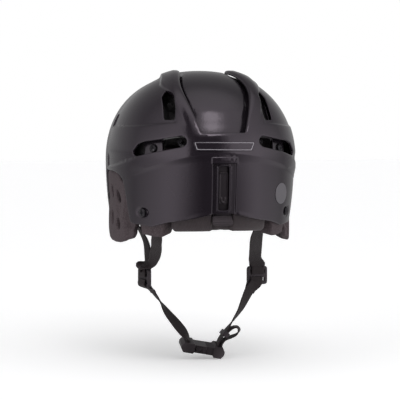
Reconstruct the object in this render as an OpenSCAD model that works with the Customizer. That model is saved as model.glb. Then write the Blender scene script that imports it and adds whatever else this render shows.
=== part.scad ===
// Two-piece multi-sport helmet with chin strap.
// +Y is the wearer's front, +X the wearer's right, +Z up, millimetres.
// The origin is the centre of the head cavity at the shell's widest level.

/* [Shell] */
// Half of the shell's outside width
half_width = 104; // [99:0.5:109]
// From the origin to the foremost point of the shell
front_length = 140; // [134:1:148]
// From the origin to the rearmost point, with the halves pushed together
rear_length = 136; // [130:1:144]
// Height of the crown above the widest level
crown_height = 100; // [95:1:108]
// Squareness of the shell, where 2 is an ellipsoid
squareness = 2.2; // [2.1:0.05:2.4]
// Share of its width that the shell draws in, one skirt depth below the widest level
draw_in = 0.07; // [0.04:0.01:0.1]
// Wall of both shell halves
shell_wall = 3; // [2.5:0.1:3.6]
// Gap between the halves where one runs under the other
shell_gap = 0.5; // [0.3:0.1:0.8]
// How far the rear half stands back from its shortest setting
size_setting = 9; // [8.5:0.5:12]
// Height of the two ridges over the crown
ridge_height = 3; // [1.5:0.5:4]
// Depth of the step between the rear band and the lower rear panel
panel_step = 2; // [1:0.25:2.2]

/* [Vents] */
// Half of the width of the crown opening at its foot
crown_opening_foot = 23.5; // [20:0.5:26]
// Half of the width of the crown opening at its middle
crown_opening_middle = 36; // [33:0.5:37]
// Height of the crown opening's foot
crown_opening_low = 32.5; // [30:0.5:35]
// Distance of the upright slots from the middle plane
slot_offset = 52.5; // [51.5:0.5:54]
// Width of the upright slots
slot_width = 12; // [8:0.5:12]
// Length of the upright slots
slot_length = 31; // [24:1:33]
// Height of the side vents
side_vent_height = 12; // [9:0.5:13]
// Length of the side vents across the back
side_vent_length = 47; // [38:1:48]

/* [Adjuster] */
// Width of the channel down the back
channel_width = 27; // [25:0.5:30]
// Depth of that channel
channel_depth = 4; // [3:0.25:5]
// Width of the guide slot in the channel's floor
guide_width = 12; // [10:0.5:13]
// Running clearance of the nape slider in its guide
slider_clearance = 0.4; // [0.3:0.05:0.6]

/* [Padding] */
// Thickness of the foam liner
liner_thickness = 17; // [12:1:19]
// Thickness of the soft comfort pads inside the liner
pad_thickness = 5; // [3:0.5:7]
// Thickness of the foam ear guards
ear_guard_thickness = 9; // [6:0.5:10]
// Gap between a foam piece and what holds it
foam_gap = 0.3; // [0.2:0.05:0.4]

/* [Fasteners] */
// Radius of the bore of the face guard inserts
insert_bore_r = 2.2; // [1.8:0.1:2.6]
// Corner radius of the inserts' hexagonal barrel
insert_r = 4; // [3.6:0.1:4.5]
// Distance between the two forehead inserts
forehead_spacing = 64; // [56:1:72]
// Radius of the screw heads
screw_head_r = 4.6; // [4:0.1:5.2]
// Radius of the screw shanks
screw_shank_r = 2; // [1.6:0.1:2.4]

/* [Chin strap] */
// Width of the webbing
webbing_width = 15; // [12:0.5:16]
// Thickness of the webbing
webbing_thickness = 1.6; // [1.2:0.1:2]
// Height of the strap adjusters' centres
yoke_height = -130; // [-134:1:-126]
// Height of a strap adjuster
yoke_length = 21; // [19:0.5:24]
// Width of a strap adjuster
yoke_width = 24; // [21:0.5:26]
// Height of the buckle's centre
buckle_height = -210.5; // [-214:0.5:-208]
// Length of the closed buckle
buckle_length = 50; // [48:1:54]
// Width of the buckle across the webbing
buckle_width = 21; // [20:0.5:24]
// Thickness of the buckle between its two ends
buckle_thickness = 9; // [8:0.5:10]

/* [Hidden] */

// Round shapes
$fn = 20;
// Depth of the skirt over which the shell draws in, and the lowest level that is worked out
skirt = 80;
shell_floor = -100;
// Azimuth stations and level steps of the shells, and of the foam inside them
shell_grid = [40, 9];
foam_grid = [32, 6];
// Where the front half rises from under the rear half to the full size
blend_start = 14;
blend_run = 45;
// A cutter that passes right through
through = 400;
// Clearance round a screw's shank
shank_fit = 0.3;
// How far a flat facet of a shell or liner falls inside the true surface
facet_sag = 0.75;

shell_black = [0.13, 0.125, 0.135];
foam_grey = [0.2, 0.185, 0.19];
trim_black = [0.09, 0.085, 0.095];
steel_dark = [0.22, 0.21, 0.22];

// The shell is the surface |x/a|^n + |y/b|^n + |z/c|^n = 1 above the widest level,
// and the same plan outline drawn in by a square law below it.
function plan_share(z) = z < 0 ? 1 - draw_in * pow(z / skirt, 2) : 1;
function reach(y) = y > 0 ? front_length : rear_length;
function up(v, full) = pow(abs(v) / full, squareness);
function rest(sum) = pow(max(1 - sum, 0), 1 / squareness);
// Distance behind the origin of the closed rear surface at x and z
function back_y(x, z) = let (k = plan_share(z))
    -rear_length * k * rest(up(x, half_width * k) + (z > 0 ? up(z, crown_height) : 0));
// Distance ahead of the origin of the front surface at x and z
function fore_y(x, z) = let (k = plan_share(z))
    front_length * k * rest(up(x, half_width * k) + (z > 0 ? up(z, crown_height) : 0));
// Distance from the middle plane of the surface at y and z
function side_x(y, z) = let (k = plan_share(z))
    half_width * k * rest(up(y, reach(y) * k) + (z > 0 ? up(z, crown_height) : 0));
// Outward normal of the surface at a point
function steep(v, full) = sign(v) * pow(abs(v) / full, squareness - 1) / full;
function unit(v) = v / max(norm(v), 1e-9);
function outward(p) = let (k = plan_share(p[2])) unit([
    steep(p[0], half_width * k),
    steep(p[1], reach(p[1]) * k),
    p[2] > 0 ? steep(p[2], crown_height) : 2 * draw_in * p[2] / (skirt * skirt * k)
]);
function mix(a, b, t) = a + (b - a) * t;
function smooth(t) = let (c = min(max(t, 0), 1)) c * c * (3 - 2 * c);
// Surface point at azimuth a and level s, which is 0 at the widest level and 1 at the crown
function plan_r(a) = 1 / pow(
    up(cos(a), half_width) + up(sin(a), reach(sin(a))), 1 / squareness);
function surface_point(a, s) =
    let (share = s > 0 ? pow(cos(90 * s), 2 / squareness) : plan_share(-s * shell_floor))
    let (z = s > 0 ? crown_height * pow(sin(90 * s), 2 / squareness) : -s * shell_floor)
    [plan_r(a) * share * cos(a), plan_r(a) * share * sin(a), z];
// Inward offset that changes from the rear half's value to the front half's
function inset_at(y, rear, front) = rear + (front - rear) * smooth((y - blend_start) / blend_run);

// Solid of everything inside the shell surface, inset by rear behind and by front ahead
module moulded(rear, front, grid = shell_grid) {
    stations = grid[0];
    levels = [for (s = [-1, -0.6, -0.3]) s, for (i = [0:grid[1] - 1]) i / grid[1]];
    rings = [for (s = levels) [for (i = [0:stations - 1])
        let (p = surface_point(360 * i / stations, s))
        p - outward(p) * inset_at(p[1], rear, front)]];
    top = [0, 0, crown_height - rear];
    bottom = [0, 0, shell_floor];
    rows = len(levels);
    points = concat([for (r = rings) each r], [top, bottom]);
    faces = concat(
        [for (j = [0:rows - 2]) for (i = [0:stations - 1])
            let (a = j * stations + i, b = j * stations + (i + 1) % stations)
            each [[a, a + stations, b + stations], [a, b + stations, b]]],
        [for (i = [0:stations - 1])
            [(rows - 1) * stations + i, rows * stations, (rows - 1) * stations + (i + 1) % stations]],
        [for (i = [0:stations - 1]) [i, (i + 1) % stations, rows * stations + 1]]
    );
    polyhedron(points, faces, convexity = 4);
}

// Wall between two insets
module wall(rear, front, rear_in, front_in, grid = shell_grid) {
    difference() {
        moulded(rear, front, grid);
        moulded(rear_in, front_in, grid);
    }
}

// Prisms seen from the side (y, z) and from the back (x, z), through the whole part
module side_prism() {
    rotate([90, 0, 90]) linear_extrude(through, center = true) children();
}
module back_prism(from = -through / 2, to = through / 2) {
    translate([0, to, 0]) rotate([90, 0, 0]) linear_extrude(to - from) children();
}
module both_sides() {
    children();
    mirror([1, 0, 0]) children();
}
module set_back() {
    translate([0, -size_setting, 0]) children();
}

// Outline of the ear opening in the side view, with a round top under the shell's band
ear_top = -10;
ear_front = 30;
ear_back = -53;
module ear_opening(grow = 0) {
    offset(delta = grow) hull() {
        translate([ear_front - 18, ear_top - 18]) circle(18);
        translate([ear_back + 22, ear_top - 16]) circle(16);
        translate([ear_back + 6, -75]) circle(8);
        translate([ear_front - 6, -75]) square([6, 1]);
        translate([ear_back, -110]) square([ear_front - ear_back + 6, 1]);
    }
}

// Lower arc of the rear band, where the panel below steps in
arc_crest = 4.5;
arc_drop = 14;
arc_reach = 81;
function arc_z(x) = arc_crest - arc_drop * pow(abs(x) / arc_reach, 2.4);
// Bottom rim of the rear shell
rim_middle = -53;
rim_side = -66;
rim_reach = 70;
function rim_z(x) = rim_middle + (rim_side - rim_middle) * smooth(abs(x) / rim_reach);
rear_edge_y = 4;
crown_edge_y = -12;

// Everything above a line across the back, and below it
module above(heights) {
    polygon([for (i = [0:len(heights) - 1]) [-150 + 10 * i, heights[i]], [150, 140], [-150, 140]]);
}
module below(heights) {
    polygon([for (i = [0:len(heights) - 1]) [-150 + 10 * i, heights[i]], [150, -140], [-150, -140]]);
}

// Side outline of the rear shell
module rear_region() {
    difference() {
        polygon([[-200, -90], [ear_back, -90], [rear_edge_y, -60], [rear_edge_y, 20],
            [rear_edge_y - 6, 70], [crown_edge_y, 92], [crown_edge_y, 130], [-200, 130]]);
        ear_opening();
        polygon([[rear_edge_y + 20, ear_top - 9], [ear_back + 40, ear_top - 14],
            [ear_back, -30], [ear_back, -120], [60, -120]]);
    }
}

// The crown opening runs from its foot up over the crown. Its place along the way is the angle
// by which the view from the side has turned about the origin, from the back up.
opening_start = atan2(crown_opening_low, -back_y(0, crown_opening_low));
opening_widest = 45;
opening_end = 110;
crown_opening_top = 31;
top_taper = 40;
function opening_half(t) = t < opening_widest
    ? crown_opening_foot + (crown_opening_middle - crown_opening_foot)
        * sin(90 * min(max((t - opening_start) / (opening_widest - opening_start), 0), 1))
    : crown_opening_middle - (crown_opening_middle - crown_opening_top) * smooth((t - opening_widest) / top_taper);
// Surface point at x where the line to it, seen from the side, has turned t degrees from the back
function turned_point(x, t) =
    let (b = t < 90 ? rear_length : front_length)
    let (r = pow((1 - up(x, half_width)) / (up(cos(t), b) + up(sin(t), crown_height)), 1 / squareness))
    [x, -r * cos(t), r * sin(t)];
function lifted(x, t, h) = let (p = turned_point(x, t)) p + outward(p) * h;

// Closed tube through rings of equal length
module skin(rings) {
    n = len(rings[0]);
    rows = len(rings);
    polyhedron(
        [for (r = rings) each r],
        concat(
            [[for (i = [n - 1:-1:0]) i]],
            [for (j = [0:rows - 2]) for (i = [0:n - 1])
                let (a = j * n + i, b = j * n + (i + 1) % n)
                each [[a, b + n, a + n], [a, b, b + n]]],
            [[for (i = [0:n - 1]) (rows - 1) * n + i]]
        ),
        convexity = 4
    );
}

// Ridge beside the crown opening, from turn t0 to t1, with its inner edge on the opening
ridge_width = 14.7;
ridge_steps = 9;
module ridge(t0, t1, inset) {
    skin([for (i = [0:ridge_steps])
        let (t = mix(t0, t1, i / ridge_steps), x = opening_half(t))
        let (grow = ridge_height * smooth((t - t0) / 18) * smooth((t1 - t) / 12))
        [
            lifted(x, t, -inset - 2),
            lifted(x + ridge_width, t, -inset - 2),
            lifted(x + ridge_width, t, -inset - 0.4),
            lifted(x + ridge_width * 0.75, t, grow * 0.6 - inset),
            lifted(x + ridge_width * 0.5, t, grow - inset),
            lifted(x + 2.5, t, grow - inset),
            lifted(x, t, grow * 0.7 - inset)
        ]]);
}

// Cutter of the crown opening
module crown_opening(depth = 9) {
    steps = 12;
    skin([for (i = [0:steps])
        let (t = mix(opening_start, opening_end, i / steps), x = opening_half(t))
        [lifted(-x, t, -depth), lifted(x, t, -depth), lifted(x, t, 8), lifted(-x, t, 8)]]);
}

// Upright slot with a pointed top, right side
slot_low = 46.5;
module slot_outline(grow = 0) {
    offset(delta = grow) hull() {
        translate([slot_offset - slot_width / 2 + 3.5, slot_low + 2]) circle(2);
        translate([slot_offset + slot_width / 2 - 1, slot_low + 2]) circle(2);
        translate([slot_offset - slot_width / 2, slot_low + slot_length - 8]) circle(1);
        translate([slot_offset + slot_width / 2 - 2.5, slot_low + slot_length - 8]) circle(1);
        translate([slot_offset, slot_low + slot_length - 1]) circle(1);
    }
}

// Wide side vent, right side, low towards the ear
vent_inner = 40;
vent_middle_z = 22;
module vent_outline(grow = 0) {
    outer = vent_inner + side_vent_length;
    offset(delta = grow) hull() {
        translate([vent_inner + 3.5, vent_middle_z + side_vent_height / 2 - 2.5]) circle(3);
        translate([vent_inner + 3.5, vent_middle_z - side_vent_height / 2 + 3]) circle(3);
        translate([outer - 14, vent_middle_z + side_vent_height / 2 - 5]) circle(3);
        translate([outer - 4, vent_middle_z + side_vent_height / 2 - 11]) circle(3);
        translate([outer - 3, vent_middle_z - side_vent_height / 2 - 6.5]) circle(2);
    }
}

// Where the screws, inserts and anchors stand
side_screw = [70.5, 15.8];
small_screw = [44.5, 23];
small_head_r = 2.4;
small_shank_r = 1.4;
rear_screw = [80.5, -53];
head_recess = 1.2;
nut_r = 5.5;
small_nut_r = 3.5;
nut_seat = 0.8;
forehead_height = 22;
visor_place = [62, -22];
// The visor inserts stand square to the shell: turned to the front and dropped by these degrees
visor_turn = 17;
visor_drop = 4.5;
front_anchor = [22, -40];
channel_top = 6.5;
channel_lip = 4;
guide_top = -4;
guide_low = -46;
floor_wall = 2.5;
floor_inset = channel_depth + floor_wall + panel_step;
carrier_top = -18;

// A round piece along the outward direction of the rear surface at x and z
module stand_out(x, z, inset) {
    p = [x, back_y(x, z), z];
    n = outward(p);
    translate(p - n * inset) rotate([0, acos(n[2]), atan2(n[1], n[0])]) children();
}

module front_region() {
    difference() {
        polygon([[-200, 12], [-114, 10], [-90, 6], [-60, -2], [ear_back + 8, ear_top + 1], [ear_front + 2, ear_top],
            [ear_front, -30], [ear_front + 6, -50], [ear_front + 16, -62], [62, -62], [78, -52], [96, -34],
            [120, -24], [160, -20], [160, 130], [-200, 130]]);
        ear_opening();
    }
}

// Slots through the crown beside the ridges, and over the brow
module crown_vent(k, r, from) {
    hull() for (d = [0, 17])
        translate([54, 24 + 27 * k + d, from]) cylinder(r = r, h = 110 - from, $fn = 12);
}
module brow_vent(r) {
    hull() for (d = [-6, 6])
        translate([17 + d, 60, 62 + d * 0.3]) rotate([-70, 0, 0]) cylinder(r = r, h = 90, $fn = 12);
}

module front_shell() color(shell_black) {
    lap = shell_wall + shell_gap;
    difference() {
        union() {
            intersection() {
                wall(lap, 0, lap + shell_wall, shell_wall);
                side_prism() front_region();
            }
            for (side = [0, 1]) mirror([side, 0, 0]) intersection() {
                ridge(98, 158, 0.3);
                translate([0, blend_start + 6, 0]) cube([100, 200, 150]);
            }
            // Flat seats for the size screws' nuts
            both_sides() {
                stand_out(side_screw[0], side_screw[1], lap + shell_wall + nut_seat) cylinder(r = nut_r + 1, h = 2);
                stand_out(small_screw[0], small_screw[1], lap + shell_wall + nut_seat)
                    cylinder(r = small_nut_r + 1, h = 2);
            }
        }
        // Openings under the rear half's slots and vents, with a bridge for the side screw
        both_sides() {
            back_prism(-through, 0) slot_outline(2);
            back_prism(-through, 0) intersection() {
                vent_outline(1.5);
                translate([50, 0]) square([side_screw[0] - 58, 60]);
            }
            back_prism(-through, 0) intersection() {
                vent_outline(1.5);
                translate([side_screw[0] + 8, 0]) square([40, 60]);
            }
            stand_out(side_screw[0], side_screw[1], lap + shell_wall + 4)
                cylinder(r = screw_shank_r + shank_fit, h = 12);
            stand_out(small_screw[0], small_screw[1], lap + shell_wall + 4)
                cylinder(r = small_shank_r + shank_fit, h = 12);
            // Crown vents, three to a side between the ridge and the rear half
            for (k = [0:2]) crown_vent(k, 3, 40);
            // Six-sided seats that keep the forehead and visor inserts from turning
            translate([forehead_spacing / 2, 0, forehead_height]) rotate([-90, 0, 0])
                cylinder(r = insert_r + 0.15, h = through, $fn = 6);
            at_visor(20) cylinder(r = insert_r + 0.15, h = 40, $fn = 6);
        }
        // Two vents over the forehead
        both_sides() brow_vent(3.4);
    }
}

module rear_shell() color(shell_black) set_back() difference() {
    union() {
        intersection() {
            wall(0, 0, shell_wall, shell_wall);
            side_prism() rear_region();
            back_prism() above([for (x = [-150:10:150]) arc_z(x)]);
        }
        intersection() {
            wall(panel_step, panel_step, panel_step + shell_wall, panel_step + shell_wall);
            side_prism() rear_region();
            back_prism() intersection() {
                above([for (x = [-150:10:150]) rim_z(x)]);
                below([for (x = [-150:10:150]) arc_z(x) + shell_wall]);
            }
        }
        for (side = [0, 1]) mirror([side, 0, 0]) intersection() {
            ridge(opening_start + 1, 100, 0);
            side_prism() rear_region();
        }
        // Floor and walls of the channel down the back
        intersection() {
            wall(channel_depth, channel_depth, floor_inset, floor_inset);
            back_prism(-through, 0) translate([-channel_width / 2 - 2, rim_middle + 1])
                square([channel_width + 4, channel_top - rim_middle + 1]);
        }
    }
    crown_opening();
    both_sides() back_prism(-through, 0) slot_outline();
    both_sides() back_prism(-through, 0) vent_outline();
    // Channel, guide slot and the screw holes
    intersection() {
        moulded(-5, -5);
        back_prism(-through, 0) translate([-channel_width / 2, rim_middle - 20])
            square([channel_width, channel_top - channel_lip - rim_middle + 20]);
        difference() {
            cube(through, center = true);
            moulded(channel_depth + panel_step, channel_depth + panel_step);
        }
    }
    back_prism(-through, 0) translate([-guide_width / 2, guide_low]) square([guide_width, guide_top - guide_low]);
    both_sides() stand_out(rear_screw[0], rear_screw[1], panel_step + 12)
        cylinder(r = screw_shank_r + shank_fit, h = 30);
    both_sides() stand_out(rear_screw[0], rear_screw[1], panel_step + head_recess)
        cylinder(r = screw_head_r + shank_fit, h = 10);
}

// Foam lining of the front half, with the head cavity inside
lap_inside = shell_wall + shell_gap + shell_wall + foam_gap + facet_sag;
front_inside = shell_wall + foam_gap + facet_sag;
module front_liner() color(foam_grey) difference() {
    intersection() {
        wall(lap_inside, front_inside, lap_inside + liner_thickness, front_inside + liner_thickness, foam_grid);
        side_prism() difference() {
            polygon([[-104, 12], [-60, 4], [ear_back, ear_top + 4], [ear_front + 6, ear_top + 4],
                [ear_front + 6, -40], [ear_front + 16, -52], [64, -54], [80, -44], [98, -28], [120, -18],
                [160, -14], [160, 130], [-104, 130]]);
            ear_opening(2);
        }
    }
    // Air channels and vents through the foam
    both_sides() {
        for (k = [0:2]) crown_vent(k, 4, 20);
        back_prism(-through, 0) slot_outline(2);
        brow_vent(4.4);
        translate([forehead_spacing / 2, forehead_face - insert_room, forehead_height]) rotate([-90, 0, 0])
            insert_pocket();
        at_visor(insert_depth + insert_room) insert_pocket();
        stand_out(side_screw[0], side_screw[1], lap_inside + 8) cylinder(r = screw_head_r + 2, h = 30);
        stand_out(small_screw[0], small_screw[1], lap_inside + 8) cylinder(r = screw_head_r, h = 30);
    }
}

// Foam lining of the rear half, below the front half's rear edge
rear_inside = panel_step + shell_wall + foam_gap + facet_sag;
nape_half = 58;
nape_room = 8;
strap_exit = 13;
nape_top = -51;
nape_low = -70.5;
module rear_liner() color(foam_grey) set_back() difference() {
    intersection() {
        wall(rear_inside, rear_inside, rear_inside + liner_thickness, rear_inside + liner_thickness, foam_grid);
        side_prism() polygon([[-200, -100], [ear_back - 12, -100], [ear_back - 12, -8], [-80, 1], [-200, 3]]);
        back_prism() difference() {
            above([for (x = [-150:10:150]) -77 + 4 * cos(x * 9)]);
            translate([-nape_half - nape_room / 4, nape_top - 50])
                square([2 * nape_half + nape_room / 2, 50 + nape_room]);
        }
    }
    // Groove for the nape slider's carrier, with a shallow one above it for the channel's floor
    back_prism() translate([-channel_width / 2 - 2.5, -90]) square([channel_width + 5, 90 + carrier_top + 9]);
    intersection() {
        back_prism() translate([-channel_width / 2 - 2.5, -90]) square([channel_width + 5, 92 + channel_top]);
        difference() {
            cube(through, center = true);
            moulded(floor_inset + foam_gap + facet_sag, floor_inset + foam_gap + facet_sag, foam_grid);
        }
    }
    // Air channels beside it, and the way of the rear straps behind the shell
    both_sides() for (k = [0:3]) hull() for (d = [0, 26])
        translate([26 + 11 * k, -through / 2, -38 + d]) rotate([-90, 0, 0]) cylinder(r = 2.5, h = through);
    both_sides() stand_out(rear_screw[0], rear_screw[1], rear_anchor_inset + 0.8) {
        cylinder(r = anchor_r + 1, h = 30);
        translate([-webbing_width / 2 - 1, -webbing_width / 2 - 1, 2]) cube([50, webbing_width + 2, 30]);
        translate([strap_exit, -webbing_width / 2 - 4, -30]) cube([50, webbing_width + 11, 60]);
    }
}

module crown_pad() color(foam_grey) intersection() {
    wall(lap_inside + liner_thickness + foam_gap, front_inside + liner_thickness + foam_gap,
        lap_inside + liner_thickness + pad_thickness, front_inside + liner_thickness + pad_thickness, foam_grid);
    linear_extrude(through) difference() {
        offset(r = 8) square([44, 90], center = true);
        for (k = [-1:1]) hull() for (d = [-14, 14]) translate([d, 32 * k]) circle(4);
    }
}

module brow_pad() color(foam_grey) intersection() {
    wall(lap_inside + liner_thickness + foam_gap, front_inside + liner_thickness + foam_gap,
        lap_inside + liner_thickness + pad_thickness, front_inside + liner_thickness + pad_thickness, foam_grid);
    translate([0, 60, 0]) back_prism(0, through / 2) offset(r = 6) square([112, 24], center = true);
}

module temple_pad() color(foam_grey) intersection() {
    wall(lap_inside + liner_thickness + foam_gap, front_inside + liner_thickness + foam_gap,
        lap_inside + liner_thickness + pad_thickness, front_inside + liner_thickness + pad_thickness, foam_grid);
    translate([40, 0, 0]) side_prism() translate([4, 18]) offset(r = 8) square([70, 26], center = true);
    translate([0, -through / 2, -through / 2]) cube(through);
}
module left_temple_pad() mirror([1, 0, 0]) temple_pad();
module right_temple_pad() temple_pad();

// Foam ear guard that fills the ear opening and hangs below the shell
guard_low = -88;
guard_step = 8.3;
module ear_guard() color(foam_grey) difference() {
    intersection() {
        wall(shell_wall + shell_gap, shell_wall + shell_gap, shell_wall + shell_gap + ear_guard_thickness,
            shell_wall + shell_gap + ear_guard_thickness, foam_grid);
        side_prism() intersection() {
            union() {
                ear_opening(-foam_gap);
                translate([ear_back - 9, -80]) square([30, 56]);
            }
            polygon([for (y = [-70:5:40]) [y, guard_low + 5 * smooth((-40 - y) / 20) + 14 * smooth((y - 10) / 24)],
                [40, 0], [-70, 0]]);
        }
        translate([0, -through / 2, -through / 2]) cube(through);
    }
    // Step under the rear shell, which comes forward over it when the helmet is made smaller
    intersection() {
        difference() {
            cube(through, center = true);
            moulded(guard_step, guard_step, foam_grid);
        }
        translate([0, -through + ear_back + 9, -through / 2]) cube(through);
    }
    // Sound and air holes
    for (h = [[-37, -34, 6], [-41, -62, 7], [-18, -30, 8], [-20, -56, 9], [2, -34, 8], [4, -58, 8]])
        hull() for (d = [-h[2], h[2]])
            translate([0, h[0], h[1] + d * 0.8]) rotate([0, 90, 0]) cylinder(r = 2.6, h = through);
    translate([0, front_anchor[0], front_anchor[1]]) rotate([0, 90, 0])
        cylinder(r = screw_shank_r + shank_fit, h = through);
}
module left_ear_guard() mirror([1, 0, 0]) ear_guard();
module right_ear_guard() ear_guard();

// Nape pad under the rear rim and the slider that carries it
carrier_half = 11;
carrier_inset = 11;
pad_inset = floor_inset + foam_gap + facet_sag;
module nape_pad() color(foam_grey) set_back() difference() {
    intersection() {
        wall(pad_inset, pad_inset, pad_inset + 13, pad_inset + 13, foam_grid);
        back_prism(-through, -20) polygon([for (x = [-nape_half:4:nape_half])
            [x, nape_low + 1.5 * smooth(1 - abs(x) / 12)], [nape_half, nape_top], [-nape_half, nape_top]]);
    }
    intersection() {
        moulded(0, 0);
        back_prism(-through, 0) translate([-carrier_half - foam_gap, -90]) square([2 * (carrier_half + foam_gap), 60]);
        difference() {
            cube(through, center = true);
            moulded(carrier_inset + 4 + foam_gap, carrier_inset + 4 + foam_gap);
        }
    }
}

module nape_slider() color(trim_black) set_back() intersection() {
    union() {
        // Carrier plate behind the channel
        intersection() {
            wall(carrier_inset, carrier_inset, carrier_inset + 4, carrier_inset + 4);
            back_prism(-through, 0) translate([-carrier_half, -65]) square([2 * carrier_half, 65 + carrier_top]);
        }
        // Stem through the guide, with its finger tab
        intersection() {
            wall(channel_depth, channel_depth, carrier_inset + 4, carrier_inset + 4);
            back_prism(-through, 0) translate([-guide_width / 2 + slider_clearance, guide_low + 7])
                square([guide_width - 2 * slider_clearance, 22]);
        }
        // Flange that shows below the rim
        intersection() {
            wall(channel_depth, channel_depth, carrier_inset + 4, carrier_inset + 4);
            back_prism(-through, 0) translate([-carrier_half, -66.5]) square([2 * carrier_half, 6]);
        }
    }
    back_prism(-through, 0) offset(r = 1) translate([-through / 2, -65.5]) square([through, 50]);
}

// Pocket in the foam behind an insert, eight-sided as the foam is cut
module insert_pocket() rotate([0, 0, 22.5])
    cylinder(r = (insert_r + flange_reach + 1) / cos(22.5), h = through, $fn = 8);

// Threaded inserts that take a face guard's forehead screws, one piece each
module insert(length) {
    difference() {
        union() {
            cylinder(r = insert_r, h = length, $fn = 6);
            translate([0, 0, -flange]) cylinder(r = insert_r + flange_reach, h = flange);
        }
        translate([0, 0, -2]) cylinder(r = insert_bore_r, h = length + 4);
    }
}
insert_length = 9;
insert_room = 7;
flange = 1.5;
flange_reach = 3.5;
insert_depth = shell_wall + 1.2;
visor_insert_length = 7;
forehead_face = fore_y(forehead_spacing / 2 + insert_r + 3, forehead_height + 6) - insert_depth;

// Puts its child square to the shell at the right visor insert, at a depth below the shell's surface
module at_visor(depth)
    translate([side_x(visor_place[0], visor_place[1]), visor_place[0], visor_place[1]])
        rotate([0, 90 + visor_drop, visor_turn]) translate([0, 0, -depth]) children();

module face_guard_inserts() color(steel_dark) both_sides()
    translate([forehead_spacing / 2, forehead_face, forehead_height]) rotate([-90, 0, 0]) insert(insert_length);
module visor_inserts() color(steel_dark) both_sides() at_visor(insert_depth) insert(visor_insert_length);

// Screws with a rounded head and a cross slot, the head's underside at 0
module screw(length, head_r, shank_r) {
    difference() {
        union() {
            cylinder(r = head_r, h = 1.4);
            translate([0, 0, 1.4]) cylinder(r = head_r - 0.8, h = 0.8);
            translate([0, 0, -length]) cylinder(r = shank_r, h = length + 0.1);
        }
        for (a = [0, 90]) rotate(a) translate([-head_r * 0.6, -0.5, 1.2]) cube([head_r * 1.2, 1, 2]);
    }
}
module nut(r, bore, h) difference() {
    cylinder(r = r, h = h);
    translate([0, 0, -1]) cylinder(r = bore, h = h + 2);
}
wing = shell_wall + shell_gap;
nut_fit = 0.05;
nut_height = 3;
module size_screws() color(steel_dark) both_sides() {
    stand_out(side_screw[0], side_screw[1], wing - foam_gap) screw(10, screw_head_r, screw_shank_r);
    stand_out(small_screw[0], small_screw[1], wing - foam_gap) screw(8, small_head_r, small_shank_r);
}
module size_nuts() color(steel_dark) both_sides() {
    behind = wing + shell_wall + nut_seat + foam_gap + nut_height;
    stand_out(side_screw[0], side_screw[1], behind) nut(nut_r, screw_shank_r + nut_fit, nut_height);
    stand_out(small_screw[0], small_screw[1], behind) nut(small_nut_r, small_shank_r + nut_fit, nut_height);
}

// Round plates that clamp the upper straps' ends. The rear ones sit behind the shell,
// the front ones inside the ear guards.
anchor_r = 8;
anchor_plate = 2.5;
strap_seat = 1.4;
plate_gap = 0.9;
rear_anchor_inset = panel_step + shell_wall + strap_seat + webbing_thickness + foam_gap + anchor_plate;
module rear_strap_screws() color(steel_dark) set_back() both_sides()
    stand_out(rear_screw[0], rear_screw[1], panel_step + head_recess - 0.2)
        screw(rear_anchor_inset - panel_step - head_recess + 0.4, screw_head_r, screw_shank_r);
module rear_strap_anchors() color(steel_dark) set_back() both_sides()
    stand_out(rear_screw[0], rear_screw[1], rear_anchor_inset) nut(anchor_r, screw_shank_r + nut_fit, anchor_plate);
front_seat = side_x(front_anchor[0], front_anchor[1]) - shell_wall - shell_gap;
front_strap_x = front_seat - ear_guard_thickness - strap_seat - webbing_thickness / 2;
front_out = outward([side_x(front_anchor[0], front_anchor[1]), front_anchor[0], front_anchor[1]]);
front_turn = atan2(front_out[1], front_out[0]) - 90;
front_plate_x = front_strap_x - webbing_thickness / 2 - plate_gap - anchor_plate;
module front_strap_screws() color(steel_dark) both_sides()
    translate([front_seat + 0.6, front_anchor[0], front_anchor[1]]) rotate([0, 90, 0])
        screw(front_seat + 0.6 - front_plate_x + 0.3, screw_head_r, screw_shank_r);
module front_strap_anchors() color(steel_dark) both_sides()
    translate([front_plate_x, front_anchor[0], front_anchor[1]]) rotate([0, 90, 0])
        nut(anchor_r, screw_shank_r + nut_fit, anchor_plate);

// Webbing swept through stations [x, y, z, azimuth of its width in degrees]
function curve_at(p, i, t) =
    let (n = len(p) - 1, a = p[max(i - 1, 0)], b = p[i], c = p[min(i + 1, n)], d = p[min(i + 2, n)])
    0.5 * (2 * b + (c - a) * t + (2 * a - 5 * b + 4 * c - d) * t * t + (3 * b - a - 3 * c + d) * t * t * t);
function fine(p, per) = [for (i = [0:len(p) - 2]) for (k = [0:per - 1]) curve_at(p, i, k / per), p[len(p) - 1]];
function place(q) = [q[0], q[1], q[2]];
module webbing(stops, per = 3, width = webbing_width, thick = webbing_thickness) {
    q = fine(stops, per);
    n = len(q) - 1;
    skin([for (i = [0:n])
        let (c = place(q[i]), along = unit(place(q[min(i + 1, n)]) - place(q[max(i - 1, 0)])))
        let (level = [cos(q[i][3]), sin(q[i][3]), 0])
        let (across = unit(level - along * (level * along)), out = cross(across, along))
        [c - across * width / 2 - out * thick / 2, c + across * width / 2 - out * thick / 2,
            c + across * width / 2 + out * thick / 2, c - across * width / 2 + out * thick / 2]]);
}
function station(p, turn) = [p[0], p[1], p[2], turn];

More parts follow.
